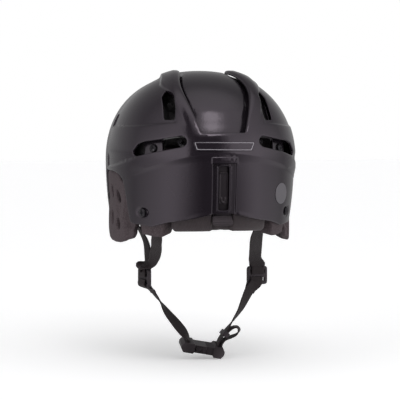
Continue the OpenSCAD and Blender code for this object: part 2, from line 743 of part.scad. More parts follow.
// Strap adjusters, each a plate with two slots. A strap's end lies against either face of it.
yoke_x = 64.5;
yoke_y = -19;
left_yoke_turn = -62;
right_yoke_turn = 8;
yoke_plate = 4.4;
yoke_slot = 4.4;
yoke_slot_offset = 4.6;
yoke_top = yoke_height + yoke_length / 2;
slot_high = yoke_height + yoke_slot_offset;
slot_below = yoke_height - yoke_slot_offset;
module yoke() color(trim_black) rotate([90, 0, 0]) difference() {
    translate([0, 0, -yoke_plate / 2]) linear_extrude(yoke_plate) offset(r = 3)
        square([yoke_width - 6, yoke_length - 6], center = true);
    for (d = [-1, 1]) translate([0, d * yoke_slot_offset, 0])
        cube([webbing_width + 1.6, yoke_slot, 20], center = true);
}
module left_yoke() translate([-yoke_x, yoke_y, yoke_height]) rotate(left_yoke_turn) yoke();
module right_yoke() translate([yoke_x, yoke_y, yoke_height]) rotate(right_yoke_turn) yoke();
// Middle of webbing that lies at height z against the front face of an adjuster, or its rear face
face_offset = yoke_plate / 2 + foam_gap + webbing_thickness / 2;
function on_yoke(x, turn, z, side, shift = 0, lift = 0) = [
    x + shift * cos(turn) - side * (face_offset + lift) * sin(turn),
    yoke_y + shift * sin(turn) + side * (face_offset + lift) * cos(turn),
    z
];

// Webbing with the hole for its anchor's screw
module anchored(at, direction) difference() {
    children();
    translate(at) rotate([0, acos(direction[2]), atan2(direction[1], direction[0])])
        cylinder(r = screw_shank_r + shank_fit, h = 8, center = true);
}
front_strap_at = [front_strap_x, front_anchor[0], front_anchor[1]];
// Middle of a front strap inside the ear guard, at a distance down from its screw
function behind_guard(down) = front_strap_at + [
    side_x(front_anchor[0], front_anchor[1] - down) - side_x(front_anchor[0], front_anchor[1]), 0, -down];
module left_front_strap() color(trim_black) anchored([-front_strap_x, front_anchor[0], front_anchor[1]], [1, 0, 0])
    webbing(concat(
        [for (down = [-8, 3, 10]) let (p = behind_guard(down)) [-p[0], p[1], p[2], -180 - front_turn]],
        [[29 - half_width, 16, -66, -88], [37 - half_width, 6, -88, -78], [-62, -7, -106, -70]],
        [for (h = [[2, 1.7], [-1, 0.4], [slot_high - yoke_top, 0]])
            station(on_yoke(-yoke_x, left_yoke_turn, yoke_top + h[0], 1, 0, h[1]), left_yoke_turn)]));
module right_front_strap() color(trim_black) anchored(front_strap_at, [1, 0, 0])
    webbing(concat(
        [for (down = [-8, 3, 10]) station(behind_guard(down), front_turn)],
        [[half_width - 25, 16, -66, -100], [half_width - 31, 7, -88, -130], [67.5, -6, -106, -156]],
        [for (h = [[2, 1.4], [-1, 0.2], [slot_high - yoke_top, 0]])
            station(on_yoke(yoke_x, right_yoke_turn, yoke_top + h[0], 1, 0, h[1]), right_yoke_turn - 180)]));

// Middle of a rear strap behind the shell, at a distance down from its screw
rear_point = [rear_screw[0], back_y(rear_screw[0], rear_screw[1]), rear_screw[1]];
rear_out = outward(rear_point);
rear_side = unit(cross([0, 0, 1], rear_out));
shell_bend = 0.0016;
function behind_shell(down) = rear_point - [0, size_setting, 0]
    - rear_out * (panel_step + shell_wall + strap_seat + webbing_thickness / 2 + shell_bend * down * down)
    + cross(rear_side, rear_out) * down;
rear_turn = atan2(rear_out[1], rear_out[0]) - 90;
rear_strap_start = [for (down = [-8, 4, 12, 22]) station(behind_shell(down), rear_turn)];
module left_rear_strap() color(trim_black)
    anchored([-behind_shell(0)[0], behind_shell(0)[1], behind_shell(0)[2]], [-rear_out[0], rear_out[1], rear_out[2]])
    webbing(concat(
        [for (q = rear_strap_start) [-q[0], q[1], q[2], -180 - q[3]]],
        [[-67, -66, -88, -45], [-63, -48, -98, -36], [-65, -32, -110, -46]],
        [for (h = [[2, 2.2], [-1, 0.5], [slot_high - yoke_top, 0]])
            station(on_yoke(-yoke_x, left_yoke_turn, yoke_top + h[0], -1, 0, h[1]), left_yoke_turn)]));
module right_rear_strap() color(trim_black)
    anchored(behind_shell(0), rear_out)
    webbing(concat(
        rear_strap_start,
        [[67, -66, -88, -145], [62.5, -48, -98, -164], [63.5, -33, -110, -170]],
        [for (h = [[2, 1.8], [-1, 0.3], [slot_high - yoke_top, 0]])
            station(on_yoke(yoke_x, right_yoke_turn, yoke_top + h[0], -1, 0, h[1]), right_yoke_turn - 180)]));

// The buckle, built along u, with its width along v and its thickness along w
buckle_middle = [0.6, yoke_y, buckle_height];
buckle_tilt = 11;
buckle_roll = 12;
socket_end = 4;
strap_slot = webbing_thickness + 1.4;
left_slot = -17;
right_slot = 16.8;
tail_slot = 20.8;
module in_buckle() translate(buckle_middle) rotate([buckle_roll, buckle_tilt, 0]) children();
function from_buckle(u, w) = buckle_middle + [
    u * cos(buckle_tilt) + w * cos(buckle_roll) * sin(buckle_tilt),
    -w * sin(buckle_roll),
    -u * sin(buckle_tilt) + w * cos(buckle_roll) * cos(buckle_tilt)
];
module left_lower_strap() color(trim_black) webbing([
    station(on_yoke(-yoke_x, left_yoke_turn, slot_below, 1), left_yoke_turn),
    station(on_yoke(-yoke_x, left_yoke_turn, slot_below - 4, 1, 0, 0.8), left_yoke_turn - 2),
    [-54.6, -17, yoke_height - 16.5, -80],
    [-48.6, yoke_y, -155, -90], [-40, yoke_y, -168.4, -112], [-29, yoke_y, -182, -124],
    [-19.8, yoke_y, -193.4, -120],
    station(from_buckle(left_slot, 7), -96), station(from_buckle(left_slot, 3), -90),
    station(from_buckle(left_slot, -1), -90)]);
module right_lower_strap() color(trim_black) webbing([
    station(on_yoke(yoke_x, right_yoke_turn, slot_below, -1, -1.5), right_yoke_turn - 180),
    station(on_yoke(yoke_x, right_yoke_turn, slot_below - 3.5, -1, -2.4, 0.2), right_yoke_turn - 179),
    [56.4, -22, yoke_height - 15, -152],
    [51.9, yoke_y, -155, -117], [45.3, yoke_y, -168.4, -106], [37, yoke_y, -180.6, -98],
    station(keeper_at + keeper_up * 3.4, -90), station(keeper_at - keeper_up * 3.4, -90),
    station(from_buckle(right_slot, 8), -94), station(from_buckle(right_slot, 3), -90),
    station(from_buckle(right_slot, -1), -90)]);

// Both halves of the buckle end in a block with the strap slots through it
block_w = 6.5;
module end_block(from, to, half) rotate([90, 0, 0]) linear_extrude(buckle_width, center = true)
    polygon([[from, -half * 0.7], [from, half * 0.7], [from + sign(to) * 1.5, half], [to - sign(to) * 3, half],
        [to, half * 0.3], [to, -half * 0.3], [to - sign(to) * 3, -half], [from + sign(to) * 1.5, -half]]);
module slot_for_strap(u) translate([u - strap_slot / 2, -webbing_width / 2 - 0.5, -20])
    cube([strap_slot, webbing_width + 1, 40]);
pocket_v = buckle_width / 2 - 2.7;
pocket_w = buckle_thickness / 2 - 1.6;
waist_v = buckle_width / 2 - 1.2;
window = [-9, -1];
module buckle_socket() color(trim_black) in_buckle() difference() {
    union() {
        end_block(-9.5, -buckle_length / 2, block_w - 0.7);
        translate([-10, -waist_v, -buckle_thickness / 2]) cube([10 + socket_end, 2 * waist_v, buckle_thickness]);
    }
    // Pocket for the plug, windows for its prongs, and the slot for the strap
    translate([-11, -pocket_v, -pocket_w]) cube([60, 2 * pocket_v, 2 * pocket_w]);
    translate([window[0], -buckle_width, -pocket_w]) cube([window[1] - window[0], 2 * buckle_width, 2 * pocket_w]);
    slot_for_strap(left_slot);
}
prong_in = 4.6;
prong_wall = 1.8;
prong_half = pocket_w - 0.5;
prong_root = socket_end + 3.2;
prong_tip = window[0] + 1;
prong_travel = 0.8;
module buckle_plug() color(trim_black) in_buckle() difference() {
    union() {
        translate([socket_end + foam_gap, -waist_v, -buckle_thickness / 2]) cube([9, 2 * waist_v, buckle_thickness]);
        end_block(12, buckle_length / 2, block_w);
        // Guide tongue between the prongs
        translate([-6, -1.3, -prong_half]) cube([socket_end + 8, 2.6, 2 * prong_half]);
    }
    // Slots that hold the roots of the prongs, wider on the side to which these are squeezed
    for (side = [0, 1]) mirror([0, side, 0])
        translate([0, prong_in - prong_travel, -prong_half - foam_gap])
        cube([prong_root + prong_wall / 2 + foam_gap, prong_wall + prong_travel + foam_gap,
            2 * (prong_half + foam_gap)]);
    slot_for_strap(right_slot);
    slot_for_strap(tail_slot);
}
// Springy arm with a hook that snaps into a window of the socket
module prong() color(trim_black) {
    translate([prong_tip, prong_in, -prong_half]) cube([prong_root - prong_tip, prong_wall, 2 * prong_half]);
    translate([prong_root, prong_in + prong_wall / 2, -prong_half]) cylinder(r = prong_wall / 2, h = 2 * prong_half);
    translate([prong_tip, prong_in, -prong_half])
        cube([window[1] - 0.6 - prong_tip, waist_v - 0.3 - prong_in, 2 * prong_half]);
}
module front_prong() in_buckle() prong();
module rear_prong() in_buckle() mirror([0, 1, 0]) prong();

// Band that holds the strap's tail against it, and the tail's folded loop
keeper_at = [26.3, yoke_y, -195];
keeper_turn = 40.4;
keeper_wall = 1.4;
keeper_right = [cos(keeper_turn), 0, -sin(keeper_turn)];
keeper_up = [sin(keeper_turn), 0, cos(keeper_turn)];
tail_apart = webbing_thickness + foam_gap;
module strap_keeper() color(trim_black) translate(keeper_at + keeper_right * tail_apart / 2)
    rotate([0, keeper_turn, 0]) difference() {
        inside = [webbing_thickness * 2 + 3 * foam_gap, webbing_width + 2 * foam_gap];
        cube([inside[0] + 2 * keeper_wall, inside[1] + 2 * keeper_wall, 6], center = true);
        cube([inside[0], inside[1], 8], center = true);
    }
module strap_tail_loop() color(trim_black) webbing([
    station(from_buckle(tail_slot, -1), -90), station(from_buckle(tail_slot, 8), -90),
    [27, yoke_y, -202.3, -90], [34, yoke_y, -199.7, -92], [40.6, yoke_y, -196.8, -104],
    [43.8, yoke_y, -192.6, -112], [41.4, yoke_y, -188.8, -104], [36.4, yoke_y, -188.9, -92],
    station(keeper_at + keeper_right * tail_apart + keeper_up * 4.6, -90),
    station(keeper_at + keeper_right * tail_apart - keeper_up * 2.8, -90)]);

// Bare plate on the band and a plain round sticker
module badge_plate() color(shell_black) set_back() intersection() {
    wall(-0.8, -0.8, -foam_gap / 2, -foam_gap / 2);
    back_prism(-through, 0) polygon([[-32.5, 22.5], [33.5, 22.5], [31, 13], [-30, 13]]);
}
module round_sticker() color(shell_black) set_back() intersection() {
    wall(panel_step - 0.7, panel_step - 0.7, panel_step - foam_gap / 2, panel_step - foam_gap / 2);
    stand_out(70, -33, 10) linear_extrude(30) scale([1.25, 1]) circle(9.5);
}

front_shell();
rear_shell();
front_liner();
rear_liner();
crown_pad();
brow_pad();
left_temple_pad();
right_temple_pad();
left_ear_guard();
right_ear_guard();
nape_pad();
nape_slider();
face_guard_inserts();
visor_inserts();
size_screws();
size_nuts();
rear_strap_screws();
rear_strap_anchors();
front_strap_screws();
front_strap_anchors();
left_front_strap();
right_front_strap();
left_rear_strap();
right_rear_strap();
left_yoke();
right_yoke();
left_lower_strap();
right_lower_strap();
buckle_socket();
buckle_plug();
front_prong();
rear_prong();
strap_keeper();
strap_tail_loop();
badge_plate();
round_sticker();
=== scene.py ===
"""Looks of a two-piece multi-sport helmet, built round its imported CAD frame.

Lengths are in millimetres until a mesh is made. +Y is the wearer's front, +X the wearer's right.
"""

import bmesh
import bpy
import numpy as np
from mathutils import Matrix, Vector, geometry


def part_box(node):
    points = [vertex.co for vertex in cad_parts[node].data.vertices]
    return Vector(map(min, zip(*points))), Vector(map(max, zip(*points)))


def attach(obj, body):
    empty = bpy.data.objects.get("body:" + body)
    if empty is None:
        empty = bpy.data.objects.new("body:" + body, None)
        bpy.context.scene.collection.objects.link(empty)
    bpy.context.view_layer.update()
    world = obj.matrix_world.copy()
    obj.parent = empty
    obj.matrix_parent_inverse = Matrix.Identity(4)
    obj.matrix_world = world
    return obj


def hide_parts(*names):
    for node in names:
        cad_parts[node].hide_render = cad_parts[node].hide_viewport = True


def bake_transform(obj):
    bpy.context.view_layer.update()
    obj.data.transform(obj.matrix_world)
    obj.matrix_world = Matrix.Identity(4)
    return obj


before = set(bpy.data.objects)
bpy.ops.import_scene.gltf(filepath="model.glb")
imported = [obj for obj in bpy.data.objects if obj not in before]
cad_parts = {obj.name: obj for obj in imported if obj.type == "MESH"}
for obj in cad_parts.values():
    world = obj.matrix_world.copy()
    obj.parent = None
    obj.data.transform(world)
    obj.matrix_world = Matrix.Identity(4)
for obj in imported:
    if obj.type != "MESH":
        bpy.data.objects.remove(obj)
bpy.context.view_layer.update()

# The shell's surface
HALF_WIDTH, FRONT_LENGTH, REAR_LENGTH, CROWN = 104.0, 140.0, 136.0, 102.5
SQUARENESS = 2.2
SETTING = np.array([0.0, -9.0, 0.0])
WALL, LAP = 3.0, 3.5
PANEL_STEP = 2.0


def power(v, full):
    """One term of the superellipsoid: |v / full| to the power of its squareness."""
    return (np.abs(v) / full) ** SQUARENESS


def root(v):
    """The inverse of power for a full size of 1."""
    return np.maximum(v, 0) ** (1 / SQUARENESS)


def smooth(t):
    """Smooth step 3t^2 - 2t^3, held at 0 below 0 and at 1 above 1."""
    t = np.clip(t, 0, 1)
    return t * t * (3 - 2 * t)


def unit(v):
    """Vectors divided by their own length."""
    return v / np.maximum(np.linalg.norm(v, axis=-1, keepdims=True), 1e-9)


def drawn(z):
    """Share of the plan outline left at height z: it draws in by a square law below the widest level."""
    return np.where(z < 0, 1 - 0.07 * (z / 80) ** 2, 1.0)


def seen_from_back(x, z):
    """Points of the surface behind the crown at x and z."""
    x, z = np.broadcast_arrays(np.asarray(x, float), np.asarray(z, float))
    k = drawn(z)
    y = -REAR_LENGTH * k * root(1 - power(x, HALF_WIDTH * k) - power(np.maximum(z, 0), CROWN))
    return np.stack([x, y, z], -1)


def seen_from_front(x, z):
    """Points of the surface ahead of the crown at x and z."""
    p = seen_from_back(x, z)
    p[:, 1] *= -FRONT_LENGTH / REAR_LENGTH
    return p


def seen_from_side(y, z):
    """Points of the surface's right side at y and z."""
    y, z = np.broadcast_arrays(np.asarray(y, float), np.asarray(z, float))
    k = drawn(z)
    x = HALF_WIDTH * k * root(1 - power(y, k * np.where(y > 0, FRONT_LENGTH, REAR_LENGTH))
                              - power(np.maximum(z, 0), CROWN))
    return np.stack([x, y, z], -1)


def seen_from_above(x, y):
    """Points of the surface's top at x and y."""
    x, y = np.broadcast_arrays(np.asarray(x, float), np.asarray(y, float))
    z = CROWN * root(1 - power(x, HALF_WIDTH) - power(y, np.where(y > 0, FRONT_LENGTH, REAR_LENGTH)))
    return np.stack([x, y, z], -1)


class Dome:
    """The shell's surface |x/a|^n + |y/b|^n + |z/c|^n = 1, charted from above: the azimuth, and a radius
    that is 0 at the crown, 1 at the widest level and grows by 1 for each 100 mm below it."""
    scale = 140.0

    @staticmethod
    def plan(a):
        """Reach of the widest level at azimuth a."""
        reach = np.where(np.sin(a) > 0, FRONT_LENGTH, REAR_LENGTH)
        return (power(np.cos(a), HALF_WIDTH) + power(np.sin(a), reach)) ** (-1 / SQUARENESS)

    def point(self, c):
        """Surface points of chart points."""
        w, a = np.hypot(c[:, 0], c[:, 1]), np.arctan2(c[:, 1], c[:, 0])
        turn = np.clip(1 - w, 0, 1) * np.pi / 2
        z = np.where(w < 1, CROWN * np.sin(turn) ** (2 / SQUARENESS), 100 * (1 - w))
        r = self.plan(a) * np.cos(turn) ** (2 / SQUARENESS) * drawn(z)
        return np.stack([r * np.cos(a), r * np.sin(a), z], -1)

    def chart(self, p):
        """Chart points of surface points: by their height low down, and by their reach near the crown."""
        a = np.arctan2(p[:, 1], p[:, 0])
        by_height = np.arcsin(np.clip(p[:, 2] / CROWN, 0, 1) ** (SQUARENESS / 2))
        near = np.clip(np.hypot(p[:, 0], p[:, 1]) / self.plan(a), 0, 1)
        by_reach = np.arccos(near ** (SQUARENESS / 2))
        turn = np.where(p[:, 2] < 0.7 * CROWN, by_height, by_reach)
        w = np.where(p[:, 2] > 0, 1 - turn * 2 / np.pi, 1 - p[:, 2] / 100)
        return np.stack([w * np.cos(a), w * np.sin(a)], -1)

    def out(self, p):
        """Outward normal: the gradient of the surface's formula."""
        x, y, z = p[:, 0], p[:, 1], p[:, 2]
        k = drawn(z)
        b = k * np.where(y > 0, FRONT_LENGTH, REAR_LENGTH)
        steep = lambda v, full: np.sign(v) * (np.abs(v) / full) ** (SQUARENESS - 1) / full
        down = np.where(z > 0, steep(z, CROWN), 0.14 * z / (80 * 80 * k))
        return unit(np.stack([steep(x, HALF_WIDTH * k), steep(y, b), down], -1))


class Flat:
    """A plane through a point, with its chart in millimetres along two directions."""
    scale = 1.0

    def __init__(self, middle, right, up):
        """A middle point and two directions at right angles."""
        self.middle, self.right, self.up = (np.array(v, float) for v in (middle, right, up))
        self.right, self.up = unit(self.right), unit(self.up)

    def point(self, c):
        """The middle, plus each chart length times its direction."""
        return self.middle + c[:, :1] * self.right + c[:, 1:2] * self.up

    def chart(self, p):
        """Lengths along both directions, as dot products."""
        q = p - self.middle
        return np.stack([q @ self.right, q @ self.up], -1)

    def out(self, p):
        """The plane's normal: the cross product of its directions."""
        return np.tile(unit(np.cross(self.right, self.up)), (len(p), 1))


DOME = Dome()


# Outlines
def dense(points, step=0.5):
    """The same open line with points at most a step apart."""
    points = np.asarray(points, float)
    parts = [points[:1]]
    for a, b in zip(points[:-1], points[1:]):
        n = max(int(np.ceil(np.linalg.norm(b - a) / step)), 1)
        parts.append(a + (b - a) * np.linspace(0, 1, n + 1)[1:, None])
    return np.concatenate(parts)


def line(view, *stops):
    """A line through stops given in one view, laid on the surface."""
    flat = dense(stops)
    return view(flat[:, 0], flat[:, 1])


def even(loop, step):
    """A closed loop with points at equal steps along it."""
    closed = np.vstack([loop, loop[:1]])
    way = np.concatenate([[0], np.cumsum(np.linalg.norm(np.diff(closed, axis=0), axis=1))])
    n = max(int(round(way[-1] / step)), 8)
    at = np.linspace(0, way[-1], n + 1)[:-1]
    return np.stack([np.interp(at, way, closed[:, i]) for i in range(3)], -1)


def rounded(form, loop, corner, step):
    """A closed loop whose corners are rounded by a running mean, laid back on its surface."""
    fine = even(loop, 0.4)
    reach = max(int(corner / 0.4), 1)
    mean = sum(np.roll(fine, s, 0) for s in range(-reach, reach + 1)) / (2 * reach + 1)
    return even(form.point(form.chart(mean)), step)


def loop_on(view, stops, corner, step):
    """A closed loop through stops given in one view, laid on the dome with rounded corners."""
    return rounded(DOME, line(view, *stops, stops[0]), corner, step)


def capsule(view, p, q, r, start, step, count=13):
    """Outline of a slot with round ends: half a circle of radius r about p from start degrees, and the other
    half about q."""
    a = np.radians(start) + np.linspace(0, np.pi, count)
    arc = r * np.stack([np.cos(a), np.sin(a)], -1)
    return loop_on(view, np.vstack([p + arc, q - arc]), 0.6, step)


def mirrored(right):
    """A closed loop from its right half, which starts and ends on the middle plane."""
    return np.vstack([right, (right * [-1, 1, 1])[-2:0:-1]])


def mirrored_on(view, stops, corner, step):
    """A closed loop from the stops of its right half, with rounded corners."""
    return rounded(DOME, mirrored(line(view, *stops)), corner, step)


def both(loops):
    """Each loop and its mirror image in the middle plane."""
    return [side for loop in loops for side in (loop, loop * [-1, 1, 1])]


# Meshes
def placed(name, data):
    """A new object in the scene, of a mesh, a lamp or a camera."""
    new = bpy.data.objects.new(name, data)
    bpy.context.scene.collection.objects.link(new)
    return new


def make(name, points, faces, finish, body, nodes=()):
    """A piece from points in millimetres, riding on a body and standing for CAD nodes."""
    mesh = bpy.data.meshes.new(name)
    mesh.from_pydata((np.asarray(points) / 1000).tolist(), [], faces)
    mesh.update()
    mesh.shade_smooth()
    piece = placed(name, mesh)
    mesh.materials.append(finish)
    if body:
        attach(piece, body)
    if nodes:
        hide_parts(*nodes)
    return piece


def within(points, loops):
    """Even-odd test of chart points against closed loops, by counting the edges to their right."""
    inside = np.zeros(len(points), bool)
    x, y = points[:, :1], points[:, 1:2]
    for loop in loops:
        a, b = loop, np.roll(loop, -1, 0)
        crosses = (a[:, 1] > y) != (b[:, 1] > y)
        with np.errstate(divide="ignore", invalid="ignore"):
            at = a[:, 0] + (y - a[:, 1]) * (b[:, 0] - a[:, 0]) / (b[:, 1] - a[:, 1])
        inside ^= (np.sum(crosses & (x < at), axis=1) % 2).astype(bool)
    return inside


def nearest(points, corners):
    """Index of the corner nearest to each point, by the squares of all their distances."""
    found = np.empty(len(points), int)
    for start in range(0, len(points), 4000):
        p = points[start:start + 4000]
        square = (p ** 2).sum(1)[:, None] + (corners ** 2).sum(1) - 2 * p @ corners.T
        found[start:start + 4000] = np.argmin(square, 1)
    return found


def gap_to(points, loops):
    """Distance of points from closed loops, to the nearest of the two edges at the nearest corner."""
    best = np.full(len(points), 1e9)
    for loop in loops:
        i = nearest(points, loop)
        for a, b in ((loop[i - 1], loop[i]), (loop[i], loop[(i + 1) % len(loop)])):
            t = np.clip(((points - a) * (b - a)).sum(1) / np.maximum(((b - a) ** 2).sum(1), 1e-12), 0, 1)
            best = np.minimum(best, np.linalg.norm(points - a - t[:, None] * (b - a), axis=1))
    return best


def patch(name, form, outline, holes, front, back, finish, body, nodes=(),
          step=2.2, edge=0.8, creases=(), move=(0, 0, 0)):
    """A piece of even wall cut from a surface. Its outer and inner skins are the surface moved along its
    normal by front(p, gap) and back(p, gap), where gap is the distance from the piece's edge, and over
    the last edge millimetres both skins round off by a quarter circle. The skins are triangulated in the
    surface's chart, with rows of points along the edges and along the creases."""
    loops = []
    for i, loop in enumerate((outline, *holes)):
        c = form.chart(loop)
        area = np.sum(c[:, 0] * np.roll(c[:, 1], -1) - c[:, 1] * np.roll(c[:, 0], -1))
        loops.append(c if (area > 0) == (i == 0) else c[::-1])
    solid = [form.point(c) for c in loops]
    shares = np.array([0.04, 0.15, 0.4, 1.0])
    rows = []
    for q in solid:
        inward = unit(np.cross(form.out(q), np.roll(q, -1, 0) - np.roll(q, 1, 0)))
        for t in [*(edge * shares), edge + 0.45 * step]:
            c = form.chart(q + inward * t)
            rows.append(c[gap_to(form.point(c), solid) > 0.8 * t])
    lines = [form.chart(c) for c in creases]
    if lines:
        lines = np.vstack(lines)
        lines = [lines[gap_to(form.point(lines), solid) > edge * 1.3]]
    low, high = loops[0].min(0), loops[0].max(0)
    across, up = step / form.scale, step * 0.866 / form.scale
    gx, gy = np.meshgrid(np.arange(low[0], high[0], across), np.arange(low[1], high[1], up))
    gx[1::2] += across / 2
    grid = np.stack([gx.ravel(), gy.ravel()], -1)
    grid = grid[within(grid, loops)]
    keep = gap_to(form.point(grid), solid) > edge + 0.9 * step
    if lines:
        a, b = form.point(grid), form.point(lines[0])
        keep &= np.linalg.norm(a - b[nearest(a, b)], axis=1) > 0.5 * step
    points = np.vstack([*loops, *rows, *lines, grid[keep]])
    ends = np.cumsum([0] + [len(c) for c in loops])
    edges = [(s + i, s + (i + 1) % (e - s)) for s, e in zip(ends[:-1], ends[1:]) for i in range(e - s)]
    found = geometry.delaunay_2d_cdt([Vector(p) for p in points], edges, [], 0, 1e-8)
    c = np.array([v[:] for v in found[0]])
    tris = np.array([f[:] for f in found[2]])
    a, b, d = (c[tris[:, i]] for i in range(3))
    area = (b[:, 0] - a[:, 0]) * (d[:, 1] - a[:, 1]) - (b[:, 1] - a[:, 1]) * (d[:, 0] - a[:, 0])
    tris = np.where((area > 0)[:, None], tris, tris[:, ::-1])
    tris = tris[within((a + b + d) / 3, loops) & (np.abs(area) > 1e-14)]
    used, tris = np.unique(tris, return_inverse=True)
    tris = tris.reshape(-1, 3)
    p = form.point(c[used])
    n, gap = form.out(p), gap_to(p, solid)
    short = np.clip(edge - gap, 0, edge)
    drop = edge - np.sqrt(np.maximum(edge ** 2 - short ** 2, 0))
    skins = np.vstack([p + n * (front(p, gap) - drop)[:, None], p + n * (back(p, gap) + drop)[:, None]])
    sides = np.concatenate([tris[:, [0, 1]], tris[:, [1, 2]], tris[:, [2, 0]]])
    key = np.sort(sides, 1) @ [len(p), 1]
    _, first, count = np.unique(key, return_index=True, return_counts=True)
    rim = sides[first[count == 1]]
    m = len(p)
    faces = tris.tolist() + (tris[:, ::-1] + m).tolist() + np.stack(
        [rim[:, 1], rim[:, 0], rim[:, 0] + m, rim[:, 1] + m], -1).tolist()
    return make(name, skins + np.asarray(move), faces, finish, body, nodes)


def along(loop, offsets):
    """Rows of points beside an open line on the dome, at distances to its left."""
    left = unit(np.cross(DOME.out(loop), np.gradient(loop, axis=0)))
    return [loop + left * d for d in offsets]


def curve(stops, per):
    """Catmull-Rom curve through stops, with a number of points for each stretch."""
    q = np.asarray(stops, float)
    n = len(q)
    i = np.arange(n - 1)[:, None]
    t = (np.arange(per) / per)[None, :, None]
    a, b, c, d = q[np.maximum(i - 1, 0)], q[i], q[i + 1], q[np.minimum(i + 2, n - 1)]
    body = 0.5 * (2 * b + (c - a) * t + (2 * a - 5 * b + 4 * c - d) * t ** 2
                  + (3 * b - a - 3 * c + d) * t ** 3)
    return np.vstack([body.reshape(-1, q.shape[1]), q[-1:]])


def between(rings, rows):
    """Quads from each of the first rows of rings to the next, where the first follows the last."""
    n = rings.shape[1]
    j, i = np.meshgrid(np.arange(rows), np.arange(n), indexing="ij")
    here, there, beside = j * n, (j + 1) % len(rings) * n, (i + 1) % n
    return np.stack([here + i, here + beside, there + beside, there + i], -1).reshape(-1, 4).tolist()


def tube(name, rings, finish, body, nodes=(), lay=None):
    """A closed skin over rings of equal length, with a fan over each end."""
    rows, n = rings.shape[:2]
    points = np.vstack([rings.reshape(-1, 3), rings[0].mean(0), rings[-1].mean(0)])
    faces = between(rings, rows - 1)
    k = np.arange(n)
    faces += np.stack([(k + 1) % n, k, np.full(n, rows * n)], -1).tolist()
    top = (rows - 1) * n
    faces += np.stack([top + k, top + (k + 1) % n, np.full(n, rows * n + 1)], -1).tolist()
    piece = make(name, points, faces, finish, body, nodes)
    if lay is not None:
        attribute = piece.data.attributes.new("lay", "FLOAT_VECTOR", "POINT")
        whole = np.vstack([lay.reshape(-1, 3), lay[0].mean(0), lay[-1].mean(0)])
        attribute.data.foreach_set("vector", whole.astype(np.float32).ravel())
    return piece


WEBBING_WIDTH, WEBBING_THICKNESS = 15.0, 1.6


def webbing(name, stops, body, nodes=(), per=10, blend=None):
    """Flat webbing along stops [x, y, z, azimuth of its width]. Its section is a strip with round edges,
    and the attribute lay holds the millimetres across and along it, for the weave."""
    q = curve(stops, per)
    way = unit(np.gradient(q[:, :3], axis=0))
    level = np.stack([np.cos(np.radians(q[:, 3])), np.sin(np.radians(q[:, 3])), 0 * q[:, 3]], -1)
    across = unit(level - way * (level * way).sum(1, keepdims=True))
    out = np.cross(across, way)
    r = WEBBING_THICKNESS / 2
    half = WEBBING_WIDTH / 2 - r
    flat = np.linspace(-half, half, 9)
    arc = np.radians([-60, -30, 0, 30, 60])
    u = np.concatenate([flat, half + r * np.cos(arc), flat[::-1], -half - r * np.cos(arc)])
    v = np.concatenate([np.full(9, -r), r * np.sin(arc), np.full(9, r), -r * np.sin(arc)])
    rings = q[:, None, :3] + across[:, None] * u[None, :, None] + out[:, None] * v[None, :, None]
    run = np.concatenate([[0], np.cumsum(np.linalg.norm(np.diff(q[:, :3], axis=0), axis=1))])
    lay = np.stack([np.broadcast_to(u, rings.shape[:2]), np.broadcast_to(run[:, None], rings.shape[:2]),
                    np.broadcast_to(v, rings.shape[:2])], -1)
    piece = tube(name, rings, WEBBING, None if blend else body, nodes, lay)
    if blend:
        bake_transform(piece)


def about(middle, axis, x, y, h):
    """Points x and y across an axis through a middle, and h along it."""
    axis = unit(np.asarray(axis, float))
    side = unit(np.cross([0, 0, 1.0], axis))
    up = np.cross(axis, side)
    return np.asarray(middle) + x[..., None] * side + y[..., None] * up + h[..., None] * axis


# Finishes
class Wire:
    """A socket of shader nodes that Python's operators work on. Each operation adds its Math node."""

    def __init__(self, tree, socket):
        """A tree and one output socket in it."""
        self.tree, self.socket = tree, socket

    def math(self, operation, *others):
        """A Math node of this value and the others."""
        node = self.tree.nodes.new("ShaderNodeMath")
        node.operation = operation
        for slot, value in zip(node.inputs, (self, *others)):
            join(self.tree, slot, value)
        return Wire(self.tree, node.outputs[0])

    def __add__(self, other):
        return self.math("ADD", other)

    def __mul__(self, other):
        return self.math("MULTIPLY", other)

    def __sub__(self, other):
        return self.math("SUBTRACT", other)

    def __rsub__(self, other):
        return self.math("MULTIPLY", -1).math("ADD", other)

    def __truediv__(self, other):
        return self.math("DIVIDE", other)

    def __pow__(self, other):
        return self.math("POWER", other)

    __radd__, __rmul__ = __add__, __mul__

    def wave(self, length):
        """A sine of that length, from 0 to 1."""
        return (self * (2 * np.pi / length)).math("SINE") * 0.5 + 0.5

    def rise(self, low, high):
        """0 below low and 1 above high, with a smooth step between."""
        node = self.tree.nodes.new("ShaderNodeMapRange")
        node.interpolation_type = "SMOOTHSTEP"
        for slot, value in zip(node.inputs[:3], (self, low, high)):
            join(self.tree, slot, value)
        return Wire(self.tree, node.outputs[0])


def join(tree, slot, value):
    """Link a Wire to a socket, or set the socket to a plain value."""
    if isinstance(value, Wire):
        tree.links.new(value.socket, slot)
    else:
        slot.default_value = value


def shade(base, change):
    """A base colour with the same change to its red, green and blue."""
    return linear(*(v + change for v in base))


def linear(*rgb):
    """A colour written as it shows on a screen, 0 to 255, in the renderer's linear numbers."""
    v = np.array(rgb) / 255
    return (*np.where(v < 0.04045, v / 12.92, ((v + 0.055) / 1.055) ** 2.4).tolist(), 1.0)


